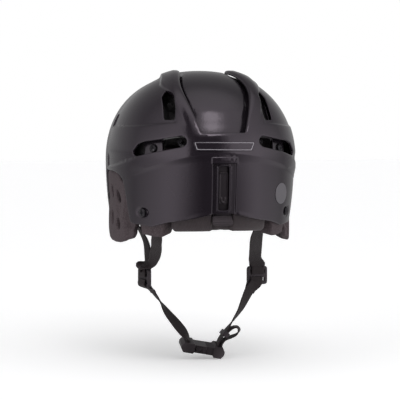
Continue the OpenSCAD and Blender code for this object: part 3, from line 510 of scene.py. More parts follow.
class Finish:
    """One material. Its constants stand on the shader's own sockets."""

    def __init__(self, name, **constants):
        """A new Principled material, and its place in Object coordinates."""
        self.material = bpy.data.materials.new(name)
        self.material.use_nodes = True
        self.tree = self.material.node_tree
        self.shader = self.tree.nodes["Principled BSDF"]
        self.set(**constants)
        self.place = self.node("TexCoord", output="Object")

    def node(self, kind, settings=None, output=0, **sockets):
        """Any node, from its type, its settings and what goes into its sockets."""
        node = self.tree.nodes.new("ShaderNode" + kind)
        for key, value in (settings or {}).items():
            setattr(node, key, value)
        for key, value in sockets.items():
            join(self.tree, node.inputs[key.replace("_", " ")], value)
        return Wire(self.tree, node.outputs[output])

    def noise(self, size, detail=2.0, rough=0.5):
        """Noise whose lumps are size metres wide."""
        return self.node("TexNoise", Vector=self.place, Scale=1 / size, Detail=detail, Roughness=rough)

    def cell_joints(self, size):
        """Distance to the nearest joint between cells that are size metres wide, as a share of that size."""
        return self.node("TexVoronoi", {"feature": "DISTANCE_TO_EDGE"}, Vector=self.place, Scale=1 / size)

    def mix(self, factor, a, b):
        """A colour that goes from a to b with the factor."""
        node = self.tree.nodes.new("ShaderNodeMix")
        node.data_type = "RGBA"
        for slot, value in zip((node.inputs[0], node.inputs[6], node.inputs[7]), (factor, a, b)):
            join(self.tree, slot, value)
        return Wire(self.tree, node.outputs[2])

    def split(self, vector):
        """The three numbers of a vector."""
        node = self.tree.nodes.new("ShaderNodeSeparateXYZ")
        join(self.tree, node.inputs[0], vector)
        return [Wire(self.tree, o) for o in node.outputs]

    def bump(self, height, distance):
        """Tilt the normal by the slope of a height, which is distance metres at 1."""
        self.set(Normal=self.node("Bump", Height=height, Distance=distance))

    def set(self, **sockets):
        """Wires or values into the shader's own sockets."""
        for key, value in sockets.items():
            join(self.tree, self.shader.inputs[key.replace("_", " ")], value)


def moulded_shell(name, base, roughness):
    """Glossy moulded plastic: a faint flow of tone, fine scuffs in the gloss, and a slight orange peel."""
    f = Finish(name, Specular_Tint=(1.0, 0.88, 1.0, 1.0))
    flow = f.noise(0.05, 3.0)
    speck = f.noise(0.0011, 2.0)
    scuff = f.noise(0.006, 5.0, 0.7).rise(0.52, 0.75)
    f.set(Base_Color=f.mix(flow, shade(base, 0), shade(base, 6)),
          Roughness=roughness + flow * 0.04 + scuff * 0.06 + speck * 0.02)
    f.bump(f.noise(0.0035, 1.0) + speck * 0.25, 0.00006)
    return f.material


def moulded_trim(name, base, roughness, grain=0.0006):
    """Satin moulded plastic with a spark-eroded grain."""
    f = Finish(name, Specular_Tint=(1.0, 0.86, 0.95, 1.0))
    pits = f.noise(grain, 3.0, 0.6)
    tone = f.noise(0.012, 3.0)
    f.set(Base_Color=f.mix(tone, shade(base, 0), shade(base, 9)),
          Roughness=roughness + pits * 0.12 + tone * 0.06)
    f.bump(pits, 0.00008)
    return f.material


def bead_foam(name, base, bead=0.0032):
    """Moulded bead foam: cells with dark joints and a matt, slightly pitted skin."""
    f = Finish(name)
    joint = f.cell_joints(bead).rise(0.0, 0.16)
    tone = f.noise(0.009, 4.0)
    pit = f.noise(0.0007, 3.0, 0.7)
    f.set(Base_Color=f.mix(joint * 0.6 + tone * 0.4, shade(base, -16), shade(base, 7)),
          Roughness=0.78 + pit * 0.15 - joint * 0.05)
    f.bump(joint * 0.7 + pit * 0.5, 0.00018)
    return f.material


def pad_cloth(name, base):
    """Brushed knit over a comfort pad: rows of small loops, with a soft nap."""
    f = Finish(name, Sheen_Weight=0.25, Sheen_Roughness=0.6)
    x, y, z = f.split(f.place)
    loops = x.wave(0.0013) * z.wave(0.0011) + (x + y).wave(0.0017) * 0.3
    nap = f.noise(0.0009, 4.0, 0.7)
    f.set(Base_Color=f.mix(loops * 0.5 + nap * 0.5, shade(base, -12), shade(base, 10)),
          Roughness=0.9 - loops * 0.08)
    f.bump(loops + nap * 0.6, 0.00016)
    return f.material


def woven_webbing():
    """Ribbed nylon webbing: ribs along it, crossed by picks that shift from rib to rib, a firmer selvage
    at either edge, and a sheen on the raised threads."""
    f = Finish("webbing", Sheen_Weight=0.08, Sheen_Roughness=0.4, Specular_IOR_Level=0.3)
    lay = f.node("Attribute", {"attribute_name": "lay"}, output="Vector")
    across, run, _ = f.split(lay)
    rib = across.wave(1.5)
    pick = (run + rib * 0.5).wave(1.1)
    selvage = across.math("ABSOLUTE").rise(5.9, 6.4)
    thread = rib * 0.55 + pick * 0.45
    raised = thread * (1 - selvage * 0.6) + selvage * (run.wave(0.9) * 0.4 + 0.35)
    fuzz = f.noise(0.0006, 3.0, 0.7)
    f.set(Base_Color=f.mix(raised * 0.8 + fuzz * 0.2, linear(15, 9, 12), linear(42, 31, 35)),
          Roughness=0.72 - raised * 0.16)
    f.bump(raised + fuzz * 0.2, 0.00022)
    return f.material


def dark_metal():
    """Black oxide steel: fine turning marks and lighter rubbed spots."""
    f = Finish("dark_metal", Metallic=0.85)
    rub = f.noise(0.0018, 4.0, 0.6).rise(0.55, 0.8)
    f.set(Base_Color=f.mix(rub, linear(46, 44, 48), linear(112, 110, 112)),
          Roughness=0.34 + f.noise(0.0005, 2.0) * 0.15 - rub * 0.08)
    f.bump(f.noise(0.0004, 3.0), 0.00004)
    return f.material


SHELL = moulded_shell("shell_gloss", (28, 23, 29), 0.11)
INNER_SHELL = moulded_shell("shell_front_gloss", (27, 23, 28), 0.17)
LABEL = moulded_shell("label_bare", (28, 23, 29), 0.14)
BORDER = moulded_shell("label_border", (150, 146, 152), 0.35)
STICKER = moulded_shell("sticker_bare", (88, 86, 90), 0.42)
TRIM = moulded_trim("trim_plastic", (30, 27, 30), 0.42)
# Black slider plastic, made darker than the shell: partly its own colour, partly painted shade for the
# recessed channel it sits in.
SLIDER_AND_SHADE = moulded_trim("slider_plastic_and_shade", (14, 11, 15), 0.3)
CONNECTOR = moulded_trim("connector_plastic", (52, 47, 50), 0.6, 0.0009)
LINER = bead_foam("liner_foam", (36, 33, 35))
GUARD = bead_foam("guard_foam", (70, 59, 63), 0.0026)
PAD = pad_cloth("pad_cloth", (58, 47, 51))
WEBBING = woven_webbing()
METAL = dark_metal()


# Forms shared by both shell halves
OPENING_FOOT, OPENING_MIDDLE, OPENING_TOP = 23.5, 36.0, 26.0
OPENING_START, OPENING_WIDEST = 14.0, 45.0


def opening_half(t):
    """Half width of the crown opening where the view from the side has turned t degrees from the back."""
    grow = np.sin(np.pi / 2 * np.clip((t - OPENING_START) / (OPENING_WIDEST - OPENING_START), 0, 1))
    low = OPENING_FOOT + (OPENING_MIDDLE - OPENING_FOOT) * grow
    return np.where(t < OPENING_WIDEST, low, OPENING_MIDDLE - (OPENING_MIDDLE - OPENING_TOP)
                    * smooth((t - OPENING_WIDEST) / 40))


def turned(x, t):
    """Point of the surface at x where the line to it, seen from the side, has turned t degrees."""
    a = np.radians(t)
    reach = np.where(t < 90, REAR_LENGTH, FRONT_LENGTH)
    r = ((1 - power(x, HALF_WIDTH)) / (power(np.cos(a), reach) + power(np.sin(a), CROWN))) ** (1 / SQUARENESS)
    return np.stack([x, -r * np.cos(a), r * np.sin(a)], -1)


RIDGE_HEIGHT = 3.0


def ridge_flat(t):
    """Width of the flat top of a ridge beside the crown opening, which grows towards the crown."""
    return 11.5 + 7 * smooth((t - 40) / 20)


def ridge(p):
    """Height of the ridges beside the crown opening: a flat top, and a steep fall to the outside. They are
    highest behind the crown and lower towards the front."""
    t = np.degrees(np.arctan2(p[:, 2], -p[:, 1]))
    beside = np.abs(p[:, 0]) - opening_half(t)
    section = (0.3 + 0.7 * np.clip(beside / 6.5, 0, 1) ** 0.8) * (1 - smooth((beside - ridge_flat(t)) / 3.4))
    return t, RIDGE_HEIGHT * section * (1 - 0.4 * smooth((t - 76) / 14)) * (beside > -4)


def arc(x):
    """Height of the lower arc of the rear band."""
    return 4.5 - 14 * (np.abs(x) / 81) ** 2.4


def upright_slot(grow=0.0):
    """Outline of an upright slot with a pointed top, right side, seen from the back."""
    stops = np.array([[49.6, 46.2], [58.9, 46.2], [59.3, 49], [57.3, 71], [52.6, 77.2], [51.2, 77.2],
                      [45.6, 72.2], [44.9, 69], [48.6, 48]])
    stops = stops + unit(stops - stops.mean(0)) * grow
    return loop_on(seen_from_back, stops, 1.4, 1.2)


def side_vent(stops):
    """Outline of a side vent, right side, seen from the back."""
    return loop_on(seen_from_back, stops, 2.4, 1.2)


VENT = [(42.6, 29.2), (38.8, 25.6), (38.9, 20.6), (42.4, 17.6), (61.4, 13.6), (70.7, 11.6), (84.5, 7.3),
        (87.8, 8.0), (88.3, 12.6), (83.4, 20.6), (77, 23.2), (66.8, 24.8)]


# Rear shell
RIM = (0, -53.4), (13.5, -53.6), (18, -54.6), (34, -58.3), (58, -62.6), (72, -67.6)
REAR_SCREW = 80.5, -53.0
LARGE_SCREW, SMALL_SCREW = (70.5, 15.8), (44.5, 23.0)
CHANNEL_HALF, GUIDE_HALF = 13.4, 5.9
GUIDE_TOP, GUIDE_FOOT = -3.0, -50.0


def band_run(x):
    """Height over which the band rolls into the panel, which is less towards the side."""
    return 6.3 - 3.4 * smooth(x / 75)


def crease(x):
    """Height of the crease above which the flank of the dome steps back."""
    return 41 - 3 * smooth((x - 50) / 40)


def flank_edge(z):
    """Distance from the middle plane beyond which the side steps in, a slanting line."""
    return 97.8 - 1.57 * (z + 2)


def rear_shell():
    """The outer skin is the dome with steps, ridges and the channel added in relief. Each is a product of
    smooth steps of the distance to its edge."""
    t = np.linspace(OPENING_START + 0.03, 97, 160)
    side = turned(opening_half(t), t)
    side = side[side[:, 1] < -12]
    right = np.vstack([
        line(seen_from_back, (0, 32.5), (OPENING_FOOT, 32.5)),
        side,
        line(seen_from_above, (opening_half(83.5) + 0.2, -12), (45.6, -12)),
        line(seen_from_side, (-12, 92), (-2, 70), (4, 20), (4, -8)),
        line(seen_from_side, (3, -9.6), (-24, -9.8), (-36, -10.8), (-46, -13.2), (-52.5, -18),
             (-56.5, -26), (-58.4, -36), (-59.6, -48), (-60.4, -58), (-60.9, -64.5)),
        line(seen_from_back, (88, -66), (81, -66.6), *RIM[::-1]),
    ])
    outline = rounded(DOME, mirrored(right), 1.6, 1.5)
    w = GUIDE_HALF
    guide = [(-w, GUIDE_FOOT), (w, GUIDE_FOOT), (w, GUIDE_TOP), (-w, GUIDE_TOP)]
    guide = loop_on(seen_from_back, guide, 2.5, 1.0)
    holes = both([upright_slot(), side_vent(VENT)]) + [guide]

    def relief(p, gap):
        """The sum of the steps. The opening's lip rolls in over the last of the gap."""
        x, z = np.abs(p[:, 0]), p[:, 2]
        below = p[:, 1] < 0
        run = band_run(x) + 9 * smooth((x - 76) / 14)
        under = arc(x) - z
        panel = PANEL_STEP * (0.8 * smooth((under + run) / run) + 0.2 * smooth(under / 0.6))
        dome = 1.3 * smooth((z - crease(x)) / 2.6) * smooth((x - 45) / 6) * below
        flank = smooth((x - flank_edge(z)) / 3) * smooth((11 - z) / 6) * smooth((z + 22) / 10) * below
        t, raised = ridge(p)
        raised = raised * smooth((t - OPENING_START - 1) / 24) * smooth((104 - t) / 8)
        box = smooth((CHANNEL_HALF - x) / 0.8) * smooth((0.6 - z) / 0.8)
        lip = 1.1 * smooth((CHANNEL_HALF + 0.8 - x) / 1.2) * smooth((z + 0.8) / 0.8) * smooth((7.2 - z) / 1.2)
        screw = np.hypot(x - REAR_SCREW[0], z - REAR_SCREW[1])
        recess = 1.2 * smooth((5.6 - screw) / 0.9)
        rim = np.interp(x, *zip(*RIM, (90, -66)))
        bead = 0.7 * smooth((rim + 3.2 - z) / 1.6) * smooth((44 - x) / 18) * smooth((x - 14) / 2)
        channel = box * (6.0 - panel)
        beyond = np.abs(z - (GUIDE_TOP + GUIDE_FOOT) / 2) - (GUIDE_TOP - GUIDE_FOOT) / 2
        slot = np.maximum(x - GUIDE_HALF, 0) + np.maximum(beyond, 0)
        frame_rim = 0.7 * smooth((1.7 - slot) / 0.5) * box
        inner_edge = smooth((opening_half(t) + 5 - x) / 2) * smooth((z - 28) / 4)
        roll = 0.8 * (1 - smooth(gap / 2.4)) * inner_edge
        steps = panel + dome + flank + channel + recess + roll
        return raised + lip * (1 - box) + bead + frame_rim - steps

    def inside(p, gap):
        """The inner skin follows the panel and goes round the channel."""
        x, z = np.abs(p[:, 0]), p[:, 2]
        panel = PANEL_STEP * smooth((arc(x) - z + 3) / 3)
        channel = smooth((16 - x) / 2) * smooth((9.5 - z) / 2) * (8.5 - WALL - panel)
        return -WALL - panel - channel

    x = np.linspace(15, 88, 120)
    arcs = [seen_from_back(x, arc(x)), seen_from_back(x, arc(x) + band_run(x))]
    rows = [r for a in arcs for r in along(a, (-0.9, -0.3, 0.2, 0.6, 1.2))]
    x = np.linspace(47, 97, 80)
    rows += along(seen_from_back(x, crease(x) + 1.3), (-1.6, -0.8, 0, 0.8, 1.6))
    z = np.linspace(-53, 10, 110)
    rows += along(seen_from_back(CHANNEL_HALF + 0 * z, z), (-0.4, 0, 0.4, 0.8, 1.3))
    rows += along(seen_from_back(GUIDE_HALF + 1.5 + 0 * z, z), (-0.5, 0, 0.5))
    x = np.linspace(0.6, 14.4, 24)
    for height in (-0.8, -0.2, 0.2, 0.6, 1.1, 6.0, 6.6, 7.2):
        rows.append(seen_from_back(x, height + 0 * x))
    t = np.linspace(20, 97, 110)
    for past in (1.3, 2.6, 4.0, 6.5):
        rows.append(turned(opening_half(t) + past, t))
    for past in (-1.0, 0, 0.9, 1.7, 2.6, 3.4, 4.4):
        rows.append(turned(opening_half(t) + ridge_flat(t) + past, t))
    a = np.linspace(0, 2 * np.pi, 36, endpoint=False)
    for r in (4.6, 5.0, 5.3, 5.7):
        rows.append(seen_from_back(REAR_SCREW[0] + r * np.cos(a), REAR_SCREW[1] + r * np.sin(a)))
    z = np.linspace(-8, 7, 16)
    rows += along(seen_from_back(flank_edge(z) + 1.2, z), (-1.5, -0.5, 0.5, 1.5))
    patch("rear_shell_moulding", DOME, outline, holes, relief, inside, SHELL, "rear_half", ["rear_shell"],
          creases=both(rows), move=SETTING)


# Front shell
def inset(y, rear, front):
    """Depth under the surface: one value under the rear shell, and another ahead of it."""
    return rear + (front - rear) * smooth((y - 14) / 45)


def crown_slot(k, r):
    """Slot k of the crown, seen from above, with its half width."""
    x, y = 54, 24 + 27 * k
    return capsule(seen_from_above, (x, y), (x, y + 17), r, 180, 1.3, 15)


def brow_slot(r):
    """Slot over the brow, which rises a little to the side."""
    return capsule(seen_from_front, (23, 76.8), (11, 74.4), r, -90, 1.3)


def insert_seat(view, x, z, corner):
    """Six-sided hole for an insert, with its first corner at an angle in degrees."""
    a = np.radians(corner + 60 * np.arange(7))
    return rounded(DOME, line(view, *np.stack([x + 4.25 * np.cos(a), z + 4.25 * np.sin(a)], -1)), 0.4, 0.8)


EAR_FRONT = [(33, -12), (32.5, -30), (35.5, -49), (45.5, -61), (62, -62), (78, -52.5), (95, -35), (112, -26)]
FOREHEAD_INSERT, VISOR_INSERT = (32.0, 22.0), (62.0, -22.0)
FRONT_ANCHOR = 22.0, -40.0


def front_shell():
    """The dome, let in by the lap where it runs under the rear shell."""
    right = np.vstack([
        line(seen_from_back, (0, 12), (62, 10.5)),
        line(seen_from_side, (-112, 10), (-90, 6), (-60, -2), (-46, -8.6), (-40, -9.8), (30, -9.9)),
        line(seen_from_side, *EAR_FRONT),
        line(seen_from_front, (62, -25), (40, -22), (20, -20.3), (0, -20)),
    ])
    outline = rounded(DOME, mirrored(right), 2.0, 1.6)
    inner_vent = [(41.2, 29.5), (37.4, 25), (37.6, 20), (41.6, 16.2), (61, 12.2), (62, 13), (62, 25.8)]
    outer_vent = [(79, 10.2), (87, 6), (89.6, 8), (89.8, 13), (84, 22), (79, 24)]
    holes = both([upright_slot(1.6), side_vent(inner_vent), side_vent(outer_vent),
                  *(crown_slot(k, 3) for k in range(3)), brow_slot(3.4),
                  insert_seat(seen_from_front, *FOREHEAD_INSERT, 0),
                  insert_seat(seen_from_side, *VISOR_INSERT, 30)])

    def relief(p, gap):
        """A shallow recess across the brow, and the crown panel that stands a little proud in the opening."""
        x, y, z = np.abs(p[:, 0]), p[:, 1], p[:, 2]
        t = np.degrees(np.arctan2(z, SETTING[1] - y))
        crown = np.maximum(inset(y, LAP, 0) - 1.5, 0) * smooth((opening_half(t) - 2.0 - x) / 1.3)
        crown = crown * smooth((z - 45) / 15)
        recess = 0.72 * smooth((y - 60) / 12) * smooth((z - 4) / 3) * smooth((46 + 0.2 * (y - 60) - z) / 3)
        return crown - inset(y, LAP, 0) - recess * smooth((x - 6) / 4)

    def inside(p, gap):
        """One wall below the lap. The recess and the crown panel don't move it."""
        return -inset(p[:, 1], LAP, 0) - WALL

    t = np.linspace(28, 98, 90)
    rows = [turned(opening_half(t) - short, t) + SETTING for short in (2.1, 2.7, 3.3)]
    rows += [turned(share * 30 + 0 * t, t + 60) for share in (0.3, 0.6)]
    patch("front_shell_moulding", DOME, outline, holes, relief, inside, INNER_SHELL, "front_half",
          ["front_shell"], step=2.3, creases=both(rows))


rear_shell()
front_shell()


# Foam
LINER_WALL, GUARD_WALL = 17.0, 9.0
REAR_FACE = -104.0
REAR_FOAM = 5.4
SIDES = ("left", -1), ("right", 1)


def front_foam(p):
    """Depth of the front liner's outer skin."""
    return inset(p[:, 1], 7.2, 3.5)


def level(depth):
    """A skin at one depth all over, counted outwards."""
    return lambda p, gap: depth + 0 * gap


def front_liner():
    """An even foam wall inside the front shell, cut off square at the back and open at the slots."""
    y = REAR_FACE
    top = CROWN * root(1 - power(y, REAR_LENGTH))
    right = np.vstack([
        line(lambda x, z: np.stack([x, y + 0 * x, z], -1), (0, top)),
        seen_from_above(np.linspace(0.5, 71, 90), y),
        line(seen_from_side, (y, 12), (-60, 4), (-53, -6), (30, -6), (35, -12), (36, -40), (46, -52),
             (64, -54), (80, -44), (98, -28), (112, -21)),
        line(seen_from_front, (62, -19), (30, -16), (0, -15)),
    ])
    outline = rounded(DOME, mirrored(right), 4.0, 2.2)
    holes = both([upright_slot(2), *(crown_slot(k, 4) for k in range(3)), brow_slot(4.4)])

    def outer(p, gap):
        """The liner's depth, counted outwards."""
        return -front_foam(p)

    def inner(p, gap):
        """Shallow air channels run from front to back between the vents."""
        x = np.abs(p[:, 0])
        channel = smooth((4 - np.abs(x - 54)) / 3) * smooth((p[:, 2] - 20) / 12)
        return -front_foam(p) - LINER_WALL + 5 * channel

    piece = patch("front_liner_foam", DOME, outline, holes, outer, inner, LINER, "front_half",
                  ["front_liner"], step=3.4, edge=2.6)


def rear_liner():
    """An even foam wall inside the rear shell, with four air slots and a gate for the strap a side."""
    right = np.vstack([
        line(seen_from_back, (0, 3), (60, 2.6)),
        line(seen_from_side, (-80, 1), (-66, -7), (-65, -10), (-65, -20), (-57, -26), (-56, -74)),
        line(seen_from_back, (88, -79.5), (80, -78.4), (72, -80), (64, -80), (62, -78), (61.4, -72),
             (60, -71.5), (59.4, -46), (55, -43), (18, -43), (16, -41), (16, -11), (14.5, -9.5), (0, -9.5)),
    ])
    outline = rounded(DOME, mirrored(right), 2.6, 2.0)
    slots = [capsule(seen_from_back, (26 + 11 * k, -12), (26 + 11 * k, -38), 2.5, 0, 1.6) for k in range(4)]
    slots.append(loop_on(seen_from_back, [(65, -48), (89, -48), (89, -64), (65, -64)], 2.5, 1.6))

    def outer(p, gap):
        """A groove for the channel, a pocket for the anchor, and steps at the nape pad and the guards."""
        x, z = np.abs(p[:, 0]), p[:, 2]
        groove = 8.6 * smooth((17.5 - x) / 2) * smooth((12 - z) / 3)
        pocket = 6.5 * smooth((13 - np.hypot(x - 81, z + 51)) / 4)
        under_pad = 9 * smooth((61.9 - x) / 0.8) * smooth((-50 - z) / 4)
        under_guard = 9.2 * smooth((p[:, 1] + 75.5) / 1.5) * smooth((-12 - z) / 3)
        return -REAR_FOAM - groove - np.maximum(pocket, under_guard) - under_pad

    inner = level(-REAR_FOAM - LINER_WALL)
    piece = patch("rear_liner_foam", DOME, outline, both(slots), outer, inner, GUARD, "rear_half",
                  ["rear_liner"], step=3.2, edge=2.4, move=SETTING)


def comfort_pads():
    """Cushions glued on the front liner, with three air slots through the crown's."""
    edge_wall, wall, shoulder = 1.6, 5.5, 7.0

    def seat(p, gap):
        """A little inside the liner's inner skin."""
        return -front_foam(p) - LINER_WALL - 0.3

    def swell(p, gap):
        """The wall grows from its edge by a quarter ellipse over the shoulder."""
        t = np.clip(gap / shoulder, 0, 1)
        return seat(p, gap) - edge_wall - (wall - edge_wall) * np.sqrt(1 - (1 - t) ** 2)

    def pad(name, nodes, outline, holes=()):
        """One cushion."""
        piece = patch(name, DOME, outline, holes, seat, swell, PAD, "front_half", nodes,
                      step=2.6, edge=0.7)

    oblong = [(0, -53), (28, -53), (30, -51), (30, 51), (28, 53), (0, 53)]
    pad("crown_pad_cloth", ["crown_pad"], mirrored_on(seen_from_above, oblong, 6, 2.2),
        [capsule(seen_from_above, (18, y), (-18, y), 4, -90, 1.8) for y in (-32, 0, 32)])
    strip = [(0, 17), (58, 17), (61, 14), (61, -14), (58, -17), (0, -17)]
    pad("brow_pad_cloth", ["brow_pad"], mirrored_on(seen_from_front, strip, 5, 2.2))
    temple = loop_on(seen_from_side, [(-38, -2), (-38, 38), (46, 38), (46, -2)], 7, 2.2)
    pad("right_temple_pad_cloth", ["right_temple_pad"], temple)
    pad("left_temple_pad_cloth", ["left_temple_pad"], temple * [-1, 1, 1])


def ear_guards():
    """Foam guards with five oval holes, a shallow dish behind and a slit."""
    outline = loop_on(seen_from_side, [
        (12, -10.4), (-20, -10.4), (-32, -10.8), (-42, -14), (-49, -20), (-58, -24), (-66, -27), (-69, -34),
        (-70, -60), (-69, -78), (-64, -83), (-52, -85), (-40, -88), (-22, -88.5), (-4, -88), (10, -86),
        (22, -79), (29, -73), (29.6, -60), (29.6, -28), (28, -20), (22, -13)], 3.0, 2.0)
    holes = []
    ovals = (-34, -38, 5.5, 7.5), (-36, -68, 6, 6), (-9, -33, 6, 7.5), (-10, -62, 6.5, 7.5), (12, -58, 5, 6)
    for y, z, wide, tall in ovals:
        a = np.linspace(0, 2 * np.pi, 33)
        oval = np.stack([y + wide * np.cos(a) + 0.3 * tall * np.sin(a), z + tall * np.sin(a)], -1)
        holes.append(rounded(DOME, line(seen_from_side, *oval), 0.8, 1.4))

    def outer(p, gap):
        """The lap, a step where the rear shell lies over the guard, the dish and the slit."""
        behind = smooth((-54 - p[:, 1]) / 6)
        y, z = p[:, 1], p[:, 2]
        dish = 1.6 * smooth((18 - np.hypot((y + 39) * 1.3, z + 48)) / 14)
        aside = np.abs(y + 54 + 0.2 * (z + 55))
        slit = 1.5 * smooth((1.2 - aside) / 0.8) * smooth((6 - np.abs(z + 56)) / 2)
        return flare(p) - LAP - 2.9 * behind - dish * (1 - behind) - slit

    def inner(p, gap):
        """The wall inside the lap."""
        return flare(p) - LAP - GUARD_WALL

    def flare(p):
        """It hangs straighter than the shell draws in, but less so where the rear shell slides over it."""
        under = smooth((-52 - p[:, 1]) / 8) * smooth((p[:, 2] + 74) / 6)
        return 7.5 * np.clip((-42 - p[:, 2]) / 44, 0, 1) * (1 - 0.65 * under)

    for side, sign in SIDES:
        mirror = np.array([sign, 1, 1])
        cuts = [h * mirror for h in holes]
        piece = patch(side + "_ear_guard_foam", DOME, outline * mirror, cuts, outer, inner, GUARD,
                      "front_half", [side + "_ear_guard"], step=2.4, edge=1.8)


def nape_pad():
    """A cushion below the rim, whose outer edge rounds off by the square root of the gap."""
    right = [(0, -73.2), (3, -73.8), (54, -74.8), (57.6, -71), (58, -52), (0, -52)]
    outline = mirrored_on(seen_from_back, right, 2.4, 2.0)

    def outer(p, gap):
        """A groove for the slider down the middle."""
        x = np.abs(p[:, 0])
        return -9.9 - 5.2 * smooth((12.5 - x) / 1.2) + 1.3 * np.sqrt(np.clip(gap / 5, 0, 1)) - 1.3

    def inner(p, gap):
        """A quarter ellipse over the last 6 mm."""
        t = np.clip(gap / 6, 0, 1)
        return -17.5 - 5 * np.sqrt(1 - (1 - t) ** 2)

    piece = patch("nape_pad_cloth", DOME, outline, [], outer, inner, PAD, "nape_unit", ["nape_pad"],
                  step=2.4, edge=1.4, move=SETTING)


front_liner()
rear_liner()
comfort_pads()
ear_guards()
nape_pad()


# Nape slider
def nape_slider():
    """A plate in the guide, an apron and a carrier behind it, and the connector below the shell's rim."""
    def block(name, stops, front, bottom, corner, edge, finish, step=1.3):
        """A block from its right half, down to a depth."""
        outline = mirrored_on(seen_from_back, stops, corner, 0.9)
        patch(name, DOME, outline, [], front, level(-bottom), finish, "nape_unit", ["nape_slider"],
              step=step, edge=edge, move=SETTING)

    def ribbed(p, gap):
        """Ribs by a cosine of the height, and a tongue that runs behind the shell's rim."""
        tongue = 4.0 * smooth((p[:, 2] + 60.4) / 0.8)
        return -5.2 - tongue + 0.35 * np.cos(2 * np.pi * p[:, 2] / 2.2) * smooth(gap / 1.5)

    def plate(p, gap):
        """A dished plate with a finger tab at its foot."""
        x, z = p[:, 0], p[:, 2]
        ring = np.hypot(x, np.minimum(z + 39, 0) + np.maximum(z + 39, 0) * 0.45)
        tab = 1.6 * smooth((3.4 - ring) / 0.6) * smooth((ring - 1.6) / 0.5) * smooth((-36 - z) / 1.5)
        return -7.7 + tab - 0.4 * smooth((gap - 1.2) / 0.6)

    oblong = lambda w, foot, top: [(0, foot), (w, foot), (w, top), (0, top)]
    # The plate, apron and carrier in the channel take the slider plastic, whose dark colour is partly painted
    # shade.
    block("slider_plate", oblong(5.3, -43.6, -9.4), plate, 13, 1.6, 0.5, SLIDER_AND_SHADE, 1.0)
    block("slider_apron", oblong(7.6, -57, 3), level(-10.0), 10.6, 1.2, 0.1, SLIDER_AND_SHADE)
    block("slider_carrier", oblong(10.8, -64.5, -18.5), level(-11.3), 15, 1.5, 0.5, SLIDER_AND_SHADE)
    connector = [(0, -66.2), (9.6, -66.2), (11.3, -64.4), (11.3, -56.4), (0, -56.4)]
    block("slider_connector", connector, ribbed, 14.5, 1.4, 0.7, CONNECTOR, 1.0)


nape_slider()


# Label plate and sticker
def labels():
    """A bare plate with a border line on the band, and a bare round sticker on the panel."""
    def label(name, outline, holes, front, back, finish, node, edge):
        """A flat piece on the rear shell, down to a height."""
        patch(name, DOME, outline, holes, front, level(back), finish, "rear_half", [node], step=1.8,
              edge=edge, move=SETTING)

    plate = loop_on(seen_from_back, [(-32.5, 22.6), (33.5, 22.6), (31, 13), (-30, 13)], 1.4, 1.0)
    label("label_plate_bare", plate, [], lambda p, gap: 0.8 - 0.3 * smooth((gap - 0.9) / 0.5), 0.1, LABEL,
          "badge_plate", 0.35)
    outer = np.array([(-31.2, 22.2), (32, 21.7), (28.6, 13.7), (-29, 14.3)])
    inner = outer + [[0.95, -0.7], [-0.95, -0.7], [-0.7, 0.7], [0.7, 0.7]]
    outer, inner = (loop_on(seen_from_back, stops, 0.8, 0.8) for stops in (outer, inner))
    label("label_border_line", outer, [inner], level(0.72), 0.3, BORDER, "badge_plate", 0.1)
    a = np.linspace(0, 2 * np.pi, 65)
    ring = rounded(DOME, seen_from_back(69.5 + 8.6 * np.cos(a), -33 + 11.3 * np.sin(a)), 0.6, 0.9)
    label("round_sticker_bare", ring, [], level(0.5 - PANEL_STEP), 0.1 - PANEL_STEP, STICKER,
          "round_sticker", 0.2)


labels()


# Screws and inserts
def screw(name, middle, axis, head, shank, length, body, nodes):
    """A rounded head over its shank, turned about an axis, with a crossed recess that tapers to its ends."""
    a = np.linspace(0, np.pi / 2, 7)
    profile = [(shank, -length), (shank, 0), (head - 0.3, 0), (head, 0.3)]
    profile += [(head * np.cos(v) ** 0.5 if v else head, 0.5 + 1.8 * np.sin(v)) for v in a[:-1]]
    profile += [(head * s, 2.3) for s in (0.55, 0.45, 0.35, 0.27, 0.2, 0.13, 0.06)]
    profile = [q for i, q in enumerate(profile) if i < 4 or q[0] <= profile[i - 1][0]]
    r, h = np.array(profile).T[:, :, None]
    a = np.linspace(0, 2 * np.pi, 48, endpoint=False)
    x, y = r * np.cos(a), r * np.sin(a)
    bar = lambda u, v: smooth((0.62 - np.abs(u)) / 0.25) * smooth((0.62 * head - np.abs(v)) / 0.35)
    h = h - 1.4 * np.maximum(bar(x, y), bar(y, x)) * (h > 1)
    tube(name, about(middle, axis, x, y, h), METAL, body, nodes)


def on_back(x, z, depth, move=SETTING):
    """Point at a depth below the surface's back, and the outward normal there."""
    p = seen_from_back([x], [z])
    n = DOME.out(p)
    return (p - n * depth)[0] + move, n[0]


LARGE_HEAD, SMALL_HEAD = (4.6, 2.0), (2.4, 1.4)


def screws():
    """Two size screws a side, which ride on the front half, and one screw for each strap's anchor."""
    for side, sign in SIDES:
        for size, (x, z), head in (("large", LARGE_SCREW, LARGE_HEAD), ("small", SMALL_SCREW, SMALL_HEAD)):
            at, n = on_back(sign * x, z, 3.2, np.zeros(3))
            screw(f"{side}_{size}_size_screw", at, n, *head, 8, "front_half", ["size_screws"])
        at, n = on_back(sign * REAR_SCREW[0], REAR_SCREW[1], PANEL_STEP + 1.0)
        screw(side + "_rear_strap_screw", at, n, *LARGE_HEAD, 9, "rear_half", ["rear_strap_screws"])
        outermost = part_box("front_strap_screws")[1].x * 1000
        at = [sign * (outermost - 3.2), *FRONT_ANCHOR]
        screw(side + "_front_strap_screw", at, [sign, 0, 0], *LARGE_HEAD, 14, "front_half",
              ["front_strap_screws"])


